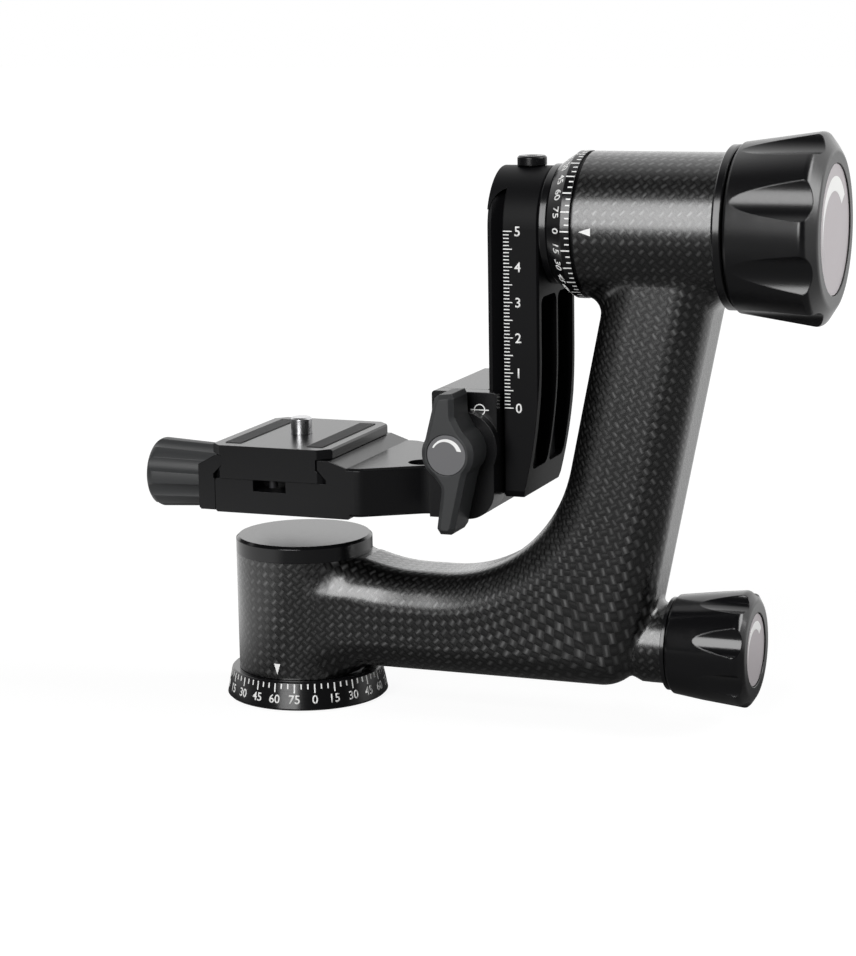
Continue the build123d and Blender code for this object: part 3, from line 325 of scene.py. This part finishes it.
# ---- Pan spindle -------------------------------------------------------------------------------
# An upright aluminium spindle stands on the foot and carries two sealed ball bearings, with a
# steel brake drum between them and a slotted nut on top. All of it is turned and left bare.
aluminium_tone = (0.72, 0.73, 0.74)


def bare_aluminium(name, axis, height=0.0):
    """Aluminium, turned and left bare."""
    return turned_finish(name, aluminium_tone, 1.0, axis, height, 0.00025, (0.2, 0.42), 0.000005, 0.0002)


pan_aluminium = bare_aluminium("turned_aluminium_pan", "Z")
dress(pan_aluminium, "pan_spindle", "pan_ring_nut")
dress(pan_steel, "pan_bearing_inners", "pan_brake_drum")

# ---- Carbon arm --------------------------------------------------------------------------------
# One hollow moulding of braided carbon fibre: an L-shaped tube with a hub at each end and a neck
# for the pan lock. The tows cross at 45 degrees to the tube, under a satin clear coat, with a painted sheen
# on one set of tows.
braid_repeat = 0.00269
braid_start = 0.0018
tube_half = 0.0157
tube_corner = 0.0105
tube_flat = tube_half - tube_corner
tube_round = 2 * math.pi * tube_corner + 8 * tube_flat
repeats_round_tube = 40
repeats_round_hub = 48
repeats_round_neck = 27
pan_hub_radius = 0.0205
tilt_hub_radius = 0.0207
neck_radius = 0.0116
neck_start = 0.1
tilt_height = 0.1438
neck_height = 0.0238
wall_reach = 0.0002
side_facing = 0.2
bend_x, bend_z = 0.046, 0.0829
bend_middle = 0.0572
bend_angle = math.radians(78.5)
leg_along = Vector((math.cos(bend_angle), math.sin(bend_angle)))
leg_out = Vector((math.sin(bend_angle), -math.cos(bend_angle)))


def along_and_inward(x, z):
    """Distance along the tube's middle line, distance towards the inside of the L, depth outward."""
    side = Vector((x - bend_x, z - bend_z))
    turn = math.atan2(side.x, -side.y)
    if side.x <= 0:
        return x, z - (bend_z - bend_middle), tube_half
    if turn < bend_angle:
        outer = min((bend_middle + tube_half) / math.cos(turn),
                    (bend_middle + tube_half) / math.cos(bend_angle - turn))
        return bend_x + bend_middle * turn, bend_middle - side.length, outer - bend_middle
    return (bend_x + bend_middle * bend_angle + side.dot(leg_along),
            bend_middle - side.dot(leg_out), tube_half)


def round_tube(y, inward, depth):
    """Distance round the tube's section from the middle of its inner side."""
    y = abs(y)
    quarter = tube_corner * math.pi / 2
    if inward > tube_flat:
        if y <= tube_flat:
            return y
        return tube_flat + tube_corner * math.atan2(y - tube_flat, inward - tube_flat)
    inner_half = tube_flat + quarter + tube_flat
    if inward >= 0:
        return inner_half - inward
    low_flat = depth - tube_corner
    if -inward <= low_flat:
        run = -inward
    elif y > tube_flat:
        run = low_flat + tube_corner * math.atan2(-inward - low_flat, y - tube_flat)
    else:
        run = low_flat + quarter + (tube_flat - y)
    return inner_half + run * inner_half / (low_flat + quarter + tube_flat)


def turn_near(angle, middle):
    """An angle moved by whole turns to lie near another."""
    return angle + 2 * math.pi * round((middle - angle) / (2 * math.pi))


def braid_coordinates(points, facing):
    """Pattern coordinates of a face's corners, in braid repeats along and across the tube."""
    middle = sum(points, Vector()) / len(points)
    from_pan = math.hypot(middle.x, middle.y)
    from_tilt = math.hypot(middle.y, middle.z - tilt_height)
    from_neck = math.hypot(middle.y, middle.z - neck_height)
    if -wall_reach < from_pan - pan_hub_radius < wall_reach / 4 and abs(facing.z) < side_facing:
        centre = math.atan2(middle.x, -middle.y)
        return [(repeats_round_hub * turn_near(math.atan2(p.x, -p.y), centre) / (2 * math.pi),
                 p.z / braid_repeat) for p in points]
    if abs(from_tilt - tilt_hub_radius) < wall_reach and abs(facing.x) < side_facing:
        centre = math.atan2(middle.z - tilt_height, -middle.y)
        return [(p.x / braid_repeat, repeats_round_hub
                 * turn_near(math.atan2(p.z - tilt_height, -p.y), centre) / (2 * math.pi)) for p in points]
    if abs(from_neck - neck_radius) < wall_reach and abs(facing.x) < side_facing and middle.x > neck_start:
        centre = math.atan2(middle.z - neck_height, -middle.y)
        return [(p.x / braid_repeat, repeats_round_neck
                 * turn_near(math.atan2(p.z - neck_height, -p.y), centre) / (2 * math.pi)) for p in points]
    made = []
    for p in points:
        along, inward, depth = along_and_inward(p.x, p.z)
        around = round_tube(p.y, inward, depth) * repeats_round_tube / tube_round
        made.append(((along + braid_start) / braid_repeat, around if p.y > 0 else -around))
    if max(v for u, v in made) - min(v for u, v in made) > repeats_round_tube / 2:
        made = [(u, v + repeats_round_tube if v < 0 else v) for u, v in made]
    return made


def ramp(value, low, high):
    """Rises smoothly from 0 to 1 between two values."""
    share = min(max((value - low) / (high - low), 0.0), 1.0)
    return share * share * (3 - 2 * share)


hub_flare = 0.00125
flare_start, flare_end = (0.006, 0.014), (0.015, 0.031)
flare_side = (0.004, 0.013)
underside_rise = 0.0016
rise_start, rise_end = (0.014, 0.024), (0.1035, 0.1075)
rise_top = (0.012, 0.024)


def eased(point):
    """The tube's sides swell a little towards the pan hub, and its underside is set up a little."""
    x, y, z = point
    swell = ramp(x, *flare_start) * (1 - ramp(x, *flare_end)) * ramp(abs(y), *flare_side)
    swell *= 1 - ramp(abs(z - (bend_z - bend_middle)), 0.008, tube_half)
    rise = (1 - ramp(z, *rise_top)) * ramp(x, *rise_start) * (1 - ramp(x, *rise_end))
    return Vector((x, y + math.copysign(hub_flare, y) * swell, z + underside_rise * rise))


def eased_normal(point, normal):
    """Direction of a normal after the easing, from its slopes at the point."""
    step = 0.00005
    slopes = [(eased(point + move) - eased(point - move)) / (2 * step)
              for move in (Vector((step, 0, 0)), Vector((0, step, 0)), Vector((0, 0, step)))]
    return (slopes[1].cross(slopes[2]) * normal.x + slopes[2].cross(slopes[0]) * normal.y
            + slopes[0].cross(slopes[1]) * normal.z).normalized()


def braided_copy(node_name, piece_name, longest_edge):
    """Merged copy of the moulding with the braid's coordinates and the moulding's own normals."""
    source = nodes[node_name].data
    shape = bmesh.new()
    shape.from_mesh(source)
    keep = shape.loops.layers.float_vector.new("moulded_normal")
    moulded_normals = iter([corner.vector.copy() for corner in source.corner_normals])
    for face in shape.faces:
        for loop in face.loops:
            loop[keep] = next(moulded_normals)
    bmesh.ops.remove_doubles(shape, verts=shape.verts[:], dist=0.000002)
    for _ in range(6):
        long_edges = [edge for edge in shape.edges if edge.calc_length() > longest_edge]
        if not long_edges:
            break
        bmesh.ops.subdivide_edges(shape, edges=long_edges, cuts=1)
        bmesh.ops.triangulate(shape, faces=[f for f in shape.faces if len(f.verts) > 3])
    keep = shape.loops.layers.float_vector["moulded_normal"]
    pattern = shape.loops.layers.uv.new("braid")
    shape.faces.ensure_lookup_table()
    normals = []
    for face in shape.faces:
        face.smooth = True
        corners = [loop.vert.co for loop in face.loops]
        for loop, spot in zip(face.loops, braid_coordinates(corners, face.normal)):
            loop[pattern].uv = spot
            normals.append(eased_normal(loop.vert.co, Vector(loop[keep]).normalized()))
    shape.loops.layers.float_vector.remove(keep)
    for vertex in shape.verts:
        vertex.co = eased(vertex.co)
    mesh = bpy.data.meshes.new(piece_name)
    shape.to_mesh(mesh)
    shape.free()
    mesh.normals_split_custom_set(normals)
    made = bpy.data.objects.new(piece_name, mesh)
    bpy.context.scene.collection.objects.link(made)
    return made


def carbon_braid():
    """Tows at plus and minus 45 degrees, over and under in turn, under a clear coat. One set of tows is
    painted lighter than the other as a painted sheen, and each tow is painted lighter on its crown and
    darker where it dives, as painted highlight and shade.
    """
    finish, shader = new_finish("braided_carbon", (0.03, 0.03, 0.031), 0.45, 0.6)

    def blend(which, first, second):
        """The first value where one set of tows is on top, the second where the other is."""
        return add_node(finish, "ShaderNodeMix", {0: which, 2: first, 3: second},
                        data_type="FLOAT").outputs[0]

    def tow(along, across):
        """Height of a tow that is crowned across its width and dives under its neighbours."""
        crown = math_node(finish, "COSINE", math_node(finish, "MULTIPLY", across, math.pi))
        dive = math_node(finish, "COSINE", math_node(finish, "MULTIPLY", along, math.pi))
        return math_node(finish, "MULTIPLY", math_node(finish, "POWER", crown, 3.2),
                         math_node(finish, "POWER", dive, 0.3))

    where = add_node(finish, "ShaderNodeUVMap", uv_map="braid").outputs[0]
    wander = add_node(finish, "ShaderNodeTexNoise",
                      {"Vector": where, "Scale": 0.45, "Detail": 2.0}).outputs["Color"]
    wander = add_node(finish, "ShaderNodeVectorMath", {0: wander, 1: (0.5, 0.5, 0.0)},
                      operation="SUBTRACT").outputs[0]
    where = add_node(finish, "ShaderNodeVectorMath", {0: wander, 1: (0.55, 0.55, 0.0), 2: where},
                     operation="MULTIPLY_ADD").outputs[0]
    split = add_node(finish, "ShaderNodeSeparateXYZ", {0: where})
    u, v = split.outputs[0], split.outputs[1]
    rising = math_node(finish, "ADD", u, v)
    falling = math_node(finish, "SUBTRACT", u, v)
    rising_cell = math_node(finish, "FLOOR", rising)
    falling_cell = math_node(finish, "FLOOR", falling)
    which = math_node(finish, "PINGPONG", math_node(finish, "ADD", rising_cell, falling_cell), 1.0)
    rising_part = math_node(finish, "SUBTRACT", math_node(finish, "SUBTRACT", rising, rising_cell), 0.5)
    falling_part = math_node(finish, "SUBTRACT", math_node(finish, "SUBTRACT", falling, falling_cell), 0.5)
    height = blend(which, tow(rising_part, falling_part), tow(falling_part, rising_part))

    strands_per_tow = 14.0
    strand_across = math_node(finish, "MULTIPLY", blend(which, falling, rising), strands_per_tow)
    strand_place = add_node(finish, "ShaderNodeCombineXYZ",
                            {"X": strand_across, "Y": blend(which, rising, falling), "Z": which})
    strands = add_node(finish, "ShaderNodeTexNoise",
                       {"Vector": strand_place.outputs[0], "Scale": 1.0, "Detail": 2.0}).outputs[0]
    tow_place = add_node(finish, "ShaderNodeCombineXYZ", {"X": rising_cell, "Y": falling_cell}).outputs[0]
    tow_tone = add_node(finish, "ShaderNodeTexWhiteNoise", {"Vector": tow_place}).outputs["Value"]
    # Painted sheen: one set of tows is painted lighter than the other, as if it caught the light.
    painted_lit_tow, painted_shaded_tow = 0.058, 0.016
    tone = blend(which, painted_lit_tow, painted_shaded_tow)
    tone = math_node(finish, "MULTIPLY", tone, math_node(finish, "MULTIPLY_ADD", tow_tone, 0.9, 0.45))
    tone = math_node(finish, "MULTIPLY", tone, math_node(finish, "MULTIPLY_ADD", strands, 1.6, 0.2))
    # Painted highlight and shade: each tow is lighter on its crown and darker where it dives under its
    # neighbours.
    tone = math_node(finish, "MULTIPLY", tone, math_node(finish, "POWER", height, 1.2))
    colour = add_node(finish, "ShaderNodeCombineColor", {"Red": tone, "Green": tone, "Blue": tone})
    finish.node_tree.links.new(colour.outputs[0], shader.inputs["Base Color"])
    give_normal(finish, shader, math_node(finish, "MULTIPLY_ADD", strands, 0.06, height), 0.00006)

    tangent = add_node(finish, "ShaderNodeTangent", direction_type="UV_MAP", uv_map="braid").outputs[0]
    finish.node_tree.links.new(tangent, shader.inputs["Tangent"])
    rising_turn, falling_turn = 0.125, 0.875
    turn = blend(which, rising_turn, falling_turn)
    finish.node_tree.links.new(turn, shader.inputs["Anisotropic Rotation"])
    shader.inputs["Anisotropic"].default_value = 0.75
    shader.inputs["Coat Weight"].default_value = 1.0
    shader.inputs["Coat Roughness"].default_value = 0.24
    shader.inputs["Coat IOR"].default_value = 1.6
    return finish


braid_finish = carbon_braid()
longest_braided_edge = 0.0034
carbon_arm = braided_copy("carbon_arm", "carbon_moulding", longest_braided_edge)
carbon_arm.data.materials.append(braid_finish)
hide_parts("carbon_arm")
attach(carbon_arm, "arm")
dress(braid_finish, "carbon_arm")

# ---- Pan and tilt index ------------------------------------------------------------------------
# A small white pointer is printed on the pan hub above its dial, and another on the tilt hub
# beside its dial. Each is a flat triangle of screen print on the clear coat.
def pointer(width, length):
    """Triangle with its tip down, standing in the XZ plane, its base at the origin's height."""
    clear_selection()
    bpy.ops.mesh.primitive_circle_add(vertices=3, radius=1.0, fill_type="NGON")
    made = bpy.context.object
    corners = sorted(made.data.vertices, key=lambda v: v.co.y)
    shape = {corners[2].index: (0.0, -length), corners[0].index: (-width / 2, 0.0),
             corners[1].index: (width / 2, 0.0)}
    for vertex in made.data.vertices:
        x, z = shape[vertex.index]
        vertex.co = (x, 0.0, z)
    bpy.ops.object.mode_set(mode="EDIT")
    thicken((0, -paint_thickness, 0))
    return made


pan_pointer_height = 0.0135
pan_pointer_x = -0.0008
pan_pointer = pointer(0.0020, 0.0033)
pan_pointer.data.transform(round_place(pan_hub_radius, pan_pointer_height,
                                       math.degrees(math.asin(pan_pointer_x / pan_hub_radius))))
one_piece("pan_pointer", [pan_pointer], white_fill, "arm")

tilt_pointer_x = 0.09715
to_tilt_axis = Matrix.Translation((0, 0, tilt_height)) @ Matrix.Rotation(math.pi / 2, 4, "Y")
tilt_pointer = pointer(0.00222, 0.00345)
tilt_pointer.data.transform(to_tilt_axis @ round_place(tilt_hub_radius, tilt_pointer_x, 0.0))
one_piece("tilt_pointer", [tilt_pointer], white_fill, "arm")

# ---- Hub cap, liners and bearings --------------------------------------------------------------
# A turned black cap closes the pan hub. Turned aluminium liners are bonded in both hubs and hold
# the outer rings of the bearings. The turned bush in the neck carries the lock screw.
dress(pan_turned_black, "pan_cap")
dress(pan_aluminium, "pan_hub_sleeve")
dress(pan_steel, "pan_bearing_outers")
tilt_aluminium = bare_aluminium("turned_aluminium_tilt", "X", tilt_height)
tilt_steel = turned_steel("turned_steel_tilt", "X", tilt_height)
dress(tilt_aluminium, "tilt_hub_sleeve")
dress(tilt_steel, "tilt_bearing_outers")
dress(turned_black("turned_black_anodise_lock", "X", neck_height), "pan_knob_bush")

# ---- Pan lock ----------------------------------------------------------------------------------
# A brass shoe on a steel screw presses on the brake drum when the fluted knob is turned. The knob
# is a gloss black moulding over an aluminium core, with a printed silver disc in its end.
dress(turned_finish("turned_brass", (0.72, 0.50, 0.22), 1.0, "X", neck_height, 0.00025, (0.22, 0.42),
                    0.000005, 0.0002), "pan_brake_shoe")
lock_steel = turned_steel("turned_steel_lock", "X", neck_height)
dress(lock_steel, "pan_brake_screw")
dress(bare_aluminium("turned_aluminium_lock", "X", neck_height), "pan_knob_core")


def black_moulding(name, roughness):
    """Black moulding with a fine skin, its sheen between two roughnesses."""
    return grained_finish(name, (0.0035, 0.0035, 0.004), 0.0, 0.0009, roughness, 0.000003, 0.0005)


dress(black_moulding("gloss_black_moulding", (0.13, 0.19)), "pan_knob")


def silver_print(name, height, tone):
    """Print on a turned disc."""
    return turned_finish(name, tone, 0.35, "X", height, 0.00018, (0.34, 0.5), 0.000004, 0.0002)


disc_tone = (0.50, 0.465, 0.48)
dress(silver_print("silver_disc_lock", neck_height, disc_tone), "pan_knob_disc")
disc_white = silver_print("white_disc_print", neck_height, (0.92, 0.92, 0.91))


def open_ring(outer, inner, steps, left=0.0, low=0.0):
    """Flat ring in edit mode. The size of its hole, and how far it is set off, are shares of the
    outer radius."""
    clear_selection()
    bpy.ops.mesh.primitive_circle_add(vertices=steps, radius=outer, fill_type="NOTHING")
    made = bpy.context.object
    bpy.ops.object.mode_set(mode="EDIT")
    bpy.ops.mesh.select_all(action="SELECT")
    bpy.ops.mesh.extrude_region_move()
    bpy.ops.transform.resize(value=(inner, inner, 1))
    bpy.ops.transform.translate(value=(-left * outer, -low * outer, 0))
    return made


def turn_arrow(outer, inner, left, low, cut, lean):
    """Crescent mark that widens towards its end, standing in the XZ plane, face towards -Y. All but
    the outer radius and the cut's lean are shares of that radius."""
    made = open_ring(outer, inner, 96, left, low)
    bpy.ops.mesh.select_all(action="SELECT")
    side = Vector((-math.sin(math.radians(lean)), math.cos(math.radians(lean)), 0))
    bpy.ops.mesh.bisect(plane_co=(0, cut * outer, 0), plane_no=side, clear_inner=True)
    thicken((0, 0, paint_thickness))
    made.data.transform(Matrix.Rotation(math.pi / 2, 4, "X"))
    return made


def on_disc(face, height):
    """Place on a disc that faces +X at a height, its mark's right towards +Y."""
    return Matrix.Translation((face - paint_depth, 0, height)) @ Matrix.Rotation(math.pi / 2, 4, "Z")


knob_crescent = {"inner": 0.859, "left": 0.093, "low": 0.133, "cut": 0.11, "lean": 30.6}
lock_arrow = turn_arrow(0.0082, **knob_crescent)
lock_arrow.data.transform(on_disc(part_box("pan_knob_disc")[1].x, neck_height))
one_piece("pan_knob_arrow", [lock_arrow], disc_white, "pan_knob")

# ---- Tilt shaft and dial -----------------------------------------------------------------------
# The swing arm hangs on a spindle through the tilt hub. Its conical dial, turned and anodised
# black, has its numbers on the cone and its degree marks on the rim, filled white.
tilt_turned_black = turned_black("turned_black_anodise_tilt", "X", tilt_height)
dress(tilt_turned_black, "tilt_spindle", "tilt_dial")
dress(tilt_steel, "tilt_bearing_inners", "tilt_key")
dress(tilt_aluminium, "tilt_bearing_spacer")

cone_start, cone_start_radius = 0.08335, 0.0174
cone_end, cone_end_radius = 0.08835, 0.0208
cone_slope = math.degrees(math.atan2(cone_end_radius - cone_start_radius, cone_end - cone_start))
tilt_number_place = 0.08665
tilt_number_radius = cone_start_radius + (cone_end_radius - cone_start_radius) * (
    (tilt_number_place - cone_start) / (cone_end - cone_start))
tilt_long_tick = (0.0884, 0.0909)
tilt_short_tick = (0.0896, 0.0909)
tilt_marks = degree_marks(tilt_long_tick, tilt_short_tick, 0, lambda place: cone_end_radius,
                          stand=to_tilt_axis)
tilt_marks += degree_numbers(0.0025, tilt_number_place, tilt_number_radius, 0, cone_slope, to_tilt_axis)
one_piece("tilt_dial_marks", tilt_marks, white_fill, "swing_arm")

# ---- Tilt lock ---------------------------------------------------------------------------------
# The large fluted knob presses a turned collar and a grey washer on the tilt hub. It is a satin
# black moulding over an aluminium core, with a printed silver disc in its end.
dress(tilt_turned_black, "tilt_collar")
friction_washer, friction_shader = new_finish("grey_low_wear_washer", (0.16, 0.16, 0.16), 0.6)
give_normal(friction_washer, friction_shader, metal_grain(friction_washer, 0.0003), 0.000008)
dress(friction_washer, "tilt_friction_washer")
dress(tilt_steel, "tilt_end_washer")
dress(black_oxide, "tilt_end_screw")
dress(tilt_aluminium, "tilt_knob_core")
dress(black_moulding("satin_black_moulding", (0.22, 0.29)), "tilt_knob")
dress(silver_print("silver_disc_tilt", tilt_height, disc_tone), "tilt_knob_disc")
tilt_arrow = turn_arrow(0.0146, **knob_crescent)
tilt_arrow.data.transform(on_disc(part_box("tilt_knob_disc")[1].x, tilt_height))
one_piece("tilt_knob_arrow", [tilt_arrow], disc_white, "tilt_knob")

# ---- Swing rail --------------------------------------------------------------------------------
# A dovetail bar milled from aluminium, blasted and anodised black, pocketed at the back to save
# weight. Its side carries a 50 mm height scale in white, and a socket screw stands in its top.
dress(grained_finish("blasted_black_anodise", (0.0035, 0.0035, 0.004), 0.0, 0.00016, (0.42, 0.55),
                     0.000004, 0.0003, gleam=0.1), "swing_rail")
dress(black_oxide, "rail_screws")


def milled_black(name):
    """Black anodise on a milled piece, smoother than the blasted bar."""
    return grained_finish(name, anodised_tone, 0.0, 0.00016, (0.20, 0.30), 0.000002, 0.0003, gleam=0.35)


dress(milled_black("milled_black_anodise_top_screw"), "rail_top_screw")

scale_face = -0.0164
scale_zero = 0.0931
scale_left = 0.0703
scale_number_x = 0.0745
scale_line = 0.0003
scale_marks = []
for length, heights in ((0.0026, range(0, 51, 5)), (0.0017, [h for h in range(51) if h % 5])):
    line = painted_line(scale_line, length)
    line.data.transform(Matrix.Translation((scale_left + length / 2, scale_face + paint_depth, 0))
                        @ Matrix.Rotation(math.pi / 2, 4, "Y"))
    scale_marks += copies_of(line, [Matrix.Translation((0, 0, scale_zero + h / 1000)) for h in heights])
for count in range(6):
    figure = painted_number(str(count), 0.0028)
    figure.data.transform(Matrix.Translation((scale_number_x, scale_face + paint_depth,
                                              scale_zero + count / 100)))
    scale_marks.append(figure)
one_piece("height_scale", scale_marks, white_fill, "swing_arm")

# ---- Cradle ------------------------------------------------------------------------------------
# Block, platform arm and fixed jaw are milled from one bar and anodised black. The block runs on
# the rail's dovetail, and the platform's flat top is left with a fine milled sheen.
cradle_black = milled_black("milled_black_anodise")
dress(cradle_black, "cradle")

# ---- Height clamp ------------------------------------------------------------------------------
# A jaw plate hooks behind the dovetail on the lever's side and is guided by two pins. A matte
# black moulded lever on a steel bolt draws it tight; a white ring and line mark the height.
dress(cradle_black, "height_jaw")
dress(lock_steel, "height_jaw_pins", "height_lever_bolt")
matte_moulding = grained_finish("matte_black_moulding", (0.021, 0.022, 0.023), 0.0, 0.00022, (0.40, 0.54),
                                0.000012, 0.0004)
dress(matte_moulding, "height_lever")
dress(grained_finish("silver_disc_lever", (0.14, 0.14, 0.145), 0.4, 0.0002, (0.36, 0.5), 0.000005, 0.0002),
      "height_lever_disc")

lever_x, lever_z = 0.0598, 0.0824
lever_disc_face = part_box("height_lever_disc")[0].y
lever_arrow = turn_arrow(0.0046, 0.812, 0.09, -0.018, 0.36, -6.0)
lever_arrow.data.transform(Matrix.Translation((lever_x, lever_disc_face + paint_depth, lever_z)))
one_piece("height_lever_arrow", [lever_arrow], white_fill, "height_lever")

jaw_face = -0.0211
mark_x, mark_z = 0.0644, 0.093
mark_ring = open_ring(0.0017, 0.82, 64)
thicken((0, 0, paint_thickness))
mark_ring.data.transform(Matrix.Translation((mark_x, jaw_face + paint_depth, mark_z))
                         @ Matrix.Rotation(math.pi / 2, 4, "X"))
line_stand = paint_stand * 1.3
mark_line = painted_line(scale_line, 0.0056)
mark_line.data.transform(Matrix.Translation((mark_x, jaw_face + paint_thickness - line_stand, mark_z))
                         @ Matrix.Rotation(math.pi / 2, 4, "Y"))
one_piece("height_mark", [mark_ring, mark_line], white_fill, "height_jaw")

# ---- Plate clamp -------------------------------------------------------------------------------
# The moving jaw slides on two pins and is drawn in by a screw with a lobed knob, moulded in the
# same matte black as the lever.
dress(cradle_black, "clamp_jaw")
dress(lock_steel, "clamp_jaw_pins", "clamp_screw", "clamp_washer")
dress(matte_moulding, "clamp_knob")
dress(tilt_aluminium, "clamp_knob_core")

# ---- Quick-release plate -----------------------------------------------------------------------
# A dovetail plate, milled and anodised black, with two ribbed rubber strips that grip the lens
# foot, a camera screw and two stop screws in its underside. Its front is left bare.
dress(cradle_black, "quick_release_plate")
rubber, rubber_shader = new_finish("black_rubber_strips", (0.018, 0.018, 0.019), 0.7)
place = add_node(rubber, "ShaderNodeTexCoord").outputs["Object"]
ribs = add_node(rubber, "ShaderNodeTexWave", {"Vector": place, "Scale": 420.0, "Distortion": 0.0},
                wave_type="BANDS", bands_direction="Y").outputs[1]
give_normal(rubber, rubber_shader, ribs, 0.00012)
dress(rubber, "plate_pads")
dress(lock_steel, "camera_screw")
dress(black_oxide, "plate_stop_screws")

# ---- Studio ------------------------------------------------------------------------------------
# A white sweep stands round the head, with a tall soft light in front, another on the right, and a
# surround that is bright behind, where the turned edges pick it up. In reflections the floor is
# dark, as if flagged, but for its near left and its far right, which glow for reflections only
# as painted reflections.
bpy.ops.object.select_all(action="DESELECT")
bpy.ops.mesh.primitive_plane_add(size=8.0)
floor = bpy.context.object
floor.name = "floor"
floor_paint, floor_shader = new_finish("white_floor", (0.16, 0.16, 0.16), 0.9)
floor_shader.inputs["Specular IOR Level"].default_value = 0.0
floor_shader.inputs["Emission Color"].default_value = (1, 1, 1, 1)
rays = add_node(floor_paint, "ShaderNodeLightPath")
place = add_node(floor_paint, "ShaderNodeTexCoord").outputs["Object"]
away = add_node(floor_paint, "ShaderNodeVectorMath", {0: place}, operation="LENGTH").outputs["Value"]
sweep = add_node(floor_paint, "ShaderNodeMapRange", {"Value": away, "From Min": 0.15, "From Max": 0.7,
                                                     "To Min": 0.9, "To Max": 1.0}).outputs[0]
across = add_node(floor_paint, "ShaderNodeSeparateXYZ", {0: place})


def fade(value, low, high, most=1.0):
    """Paint strength that rises to its most between two distances."""
    return add_node(floor_paint, "ShaderNodeMapRange",
                    {"Value": value, "From Min": low, "From Max": high, "To Max": most}).outputs[0]


# Painted reflections: the floor's near left and far right glow for glossy rays only, so they show as
# reflections on the head.
near_left_painted_reflection = math_node(floor_paint, "MULTIPLY", fade(across.outputs["X"], -0.04, -0.10),
                      fade(away, 0.45, 0.25))
far_right_painted_reflection = math_node(floor_paint, "MULTIPLY", fade(across.outputs["X"], 0.0, 0.1),
                      fade(across.outputs["Y"], 0.05, 0.15, 0.75))
painted_reflection = math_node(floor_paint, "MULTIPLY", rays.outputs["Is Glossy Ray"],
                     math_node(floor_paint, "ADD", near_left_painted_reflection, far_right_painted_reflection))
seen = math_node(floor_paint, "ADD", rays.outputs["Is Camera Ray"], painted_reflection)
floor_paint.node_tree.links.new(math_node(floor_paint, "MULTIPLY", seen, sweep),
                                floor_shader.inputs["Emission Strength"])
floor.data.materials.append(floor_paint)

world = bpy.data.worlds.new("studio")
bpy.context.scene.world = world
world.use_nodes = True
world.node_tree.nodes.clear()
rays = add_node(world, "ShaderNodeLightPath")
direction = add_node(world, "ShaderNodeTexCoord").outputs["Generated"]
behind = add_node(world, "ShaderNodeSeparateXYZ", {0: direction}).outputs["Y"]
surround = add_node(world, "ShaderNodeMapRange", {"Value": behind, "From Min": -0.15, "From Max": 0.45,
                                                  "To Min": 0.03, "To Max": 1.25}).outputs[0]
soft_fill = 0.14
lit = add_node(world, "ShaderNodeMix",
               {0: rays.outputs["Is Glossy Ray"], 2: soft_fill, 3: surround}).outputs[0]
seen = add_node(world, "ShaderNodeMix", {0: rays.outputs["Is Camera Ray"], 2: lit, 3: 1.0}).outputs[0]
background = add_node(world, "ShaderNodeBackground", {"Color": seen})
add_node(world, "ShaderNodeOutputWorld", {"Surface": background.outputs[0]})

lamps_aim = Vector((0.055, 0.0, 0.09))


def soft_light(name, turn, rise, distance, width, height, power):
    """Rectangular lamp aimed at the head: turn from -Y towards +X, rise above the horizon."""
    lamp_data = bpy.data.lights.new(name, "AREA")
    lamp_data.shape = "RECTANGLE"
    lamp_data.size = width
    lamp_data.size_y = height
    lamp_data.energy = power
    lamp = bpy.data.objects.new(name, lamp_data)
    bpy.context.scene.collection.objects.link(lamp)
    turn, rise = math.radians(turn), math.radians(rise)
    way = Vector((math.sin(turn) * math.cos(rise), -math.cos(turn) * math.cos(rise), math.sin(rise)))
    lamp.location = lamps_aim + way * distance
    lamp.rotation_euler = (-way).to_track_quat("-Z", "Y").to_euler()


soft_light("front_softbox", -7.0, 23.0, 1.2, 0.6, 0.92, 15.0)
soft_light("side_softbox", 100.0, 30.0, 1.2, 0.6, 0.8, 11.0)

camera_data = bpy.data.cameras.new("camera")
camera = bpy.data.objects.new("camera", camera_data)
bpy.context.scene.collection.objects.link(camera)
camera_place = Vector((0.32205, -0.72337, 0.22115))
yaw, pitch, roll = math.radians(21.286), math.radians(11.154), math.radians(-0.967)
ahead = Vector((-math.sin(yaw) * math.cos(pitch), math.cos(yaw) * math.cos(pitch), -math.sin(pitch)))
right = Vector((math.cos(yaw), math.sin(yaw), 0.0))
above = right.cross(ahead)
turned_right = math.cos(roll) * right + math.sin(roll) * above
turned_above = -math.sin(roll) * right + math.cos(roll) * above
pose = Matrix((turned_right, turned_above, -ahead)).transposed().to_4x4()
pose.translation = camera_place
camera.matrix_world = pose
camera_data.sensor_fit = "VERTICAL"
camera_data.sensor_height = 36.0
camera_data.sensor_width = 36.0
camera_data.lens = 101.316
camera_data.clip_start = 0.01
bpy.context.scene.camera = camera
bpy.context.scene.view_settings.view_transform = "Standard"
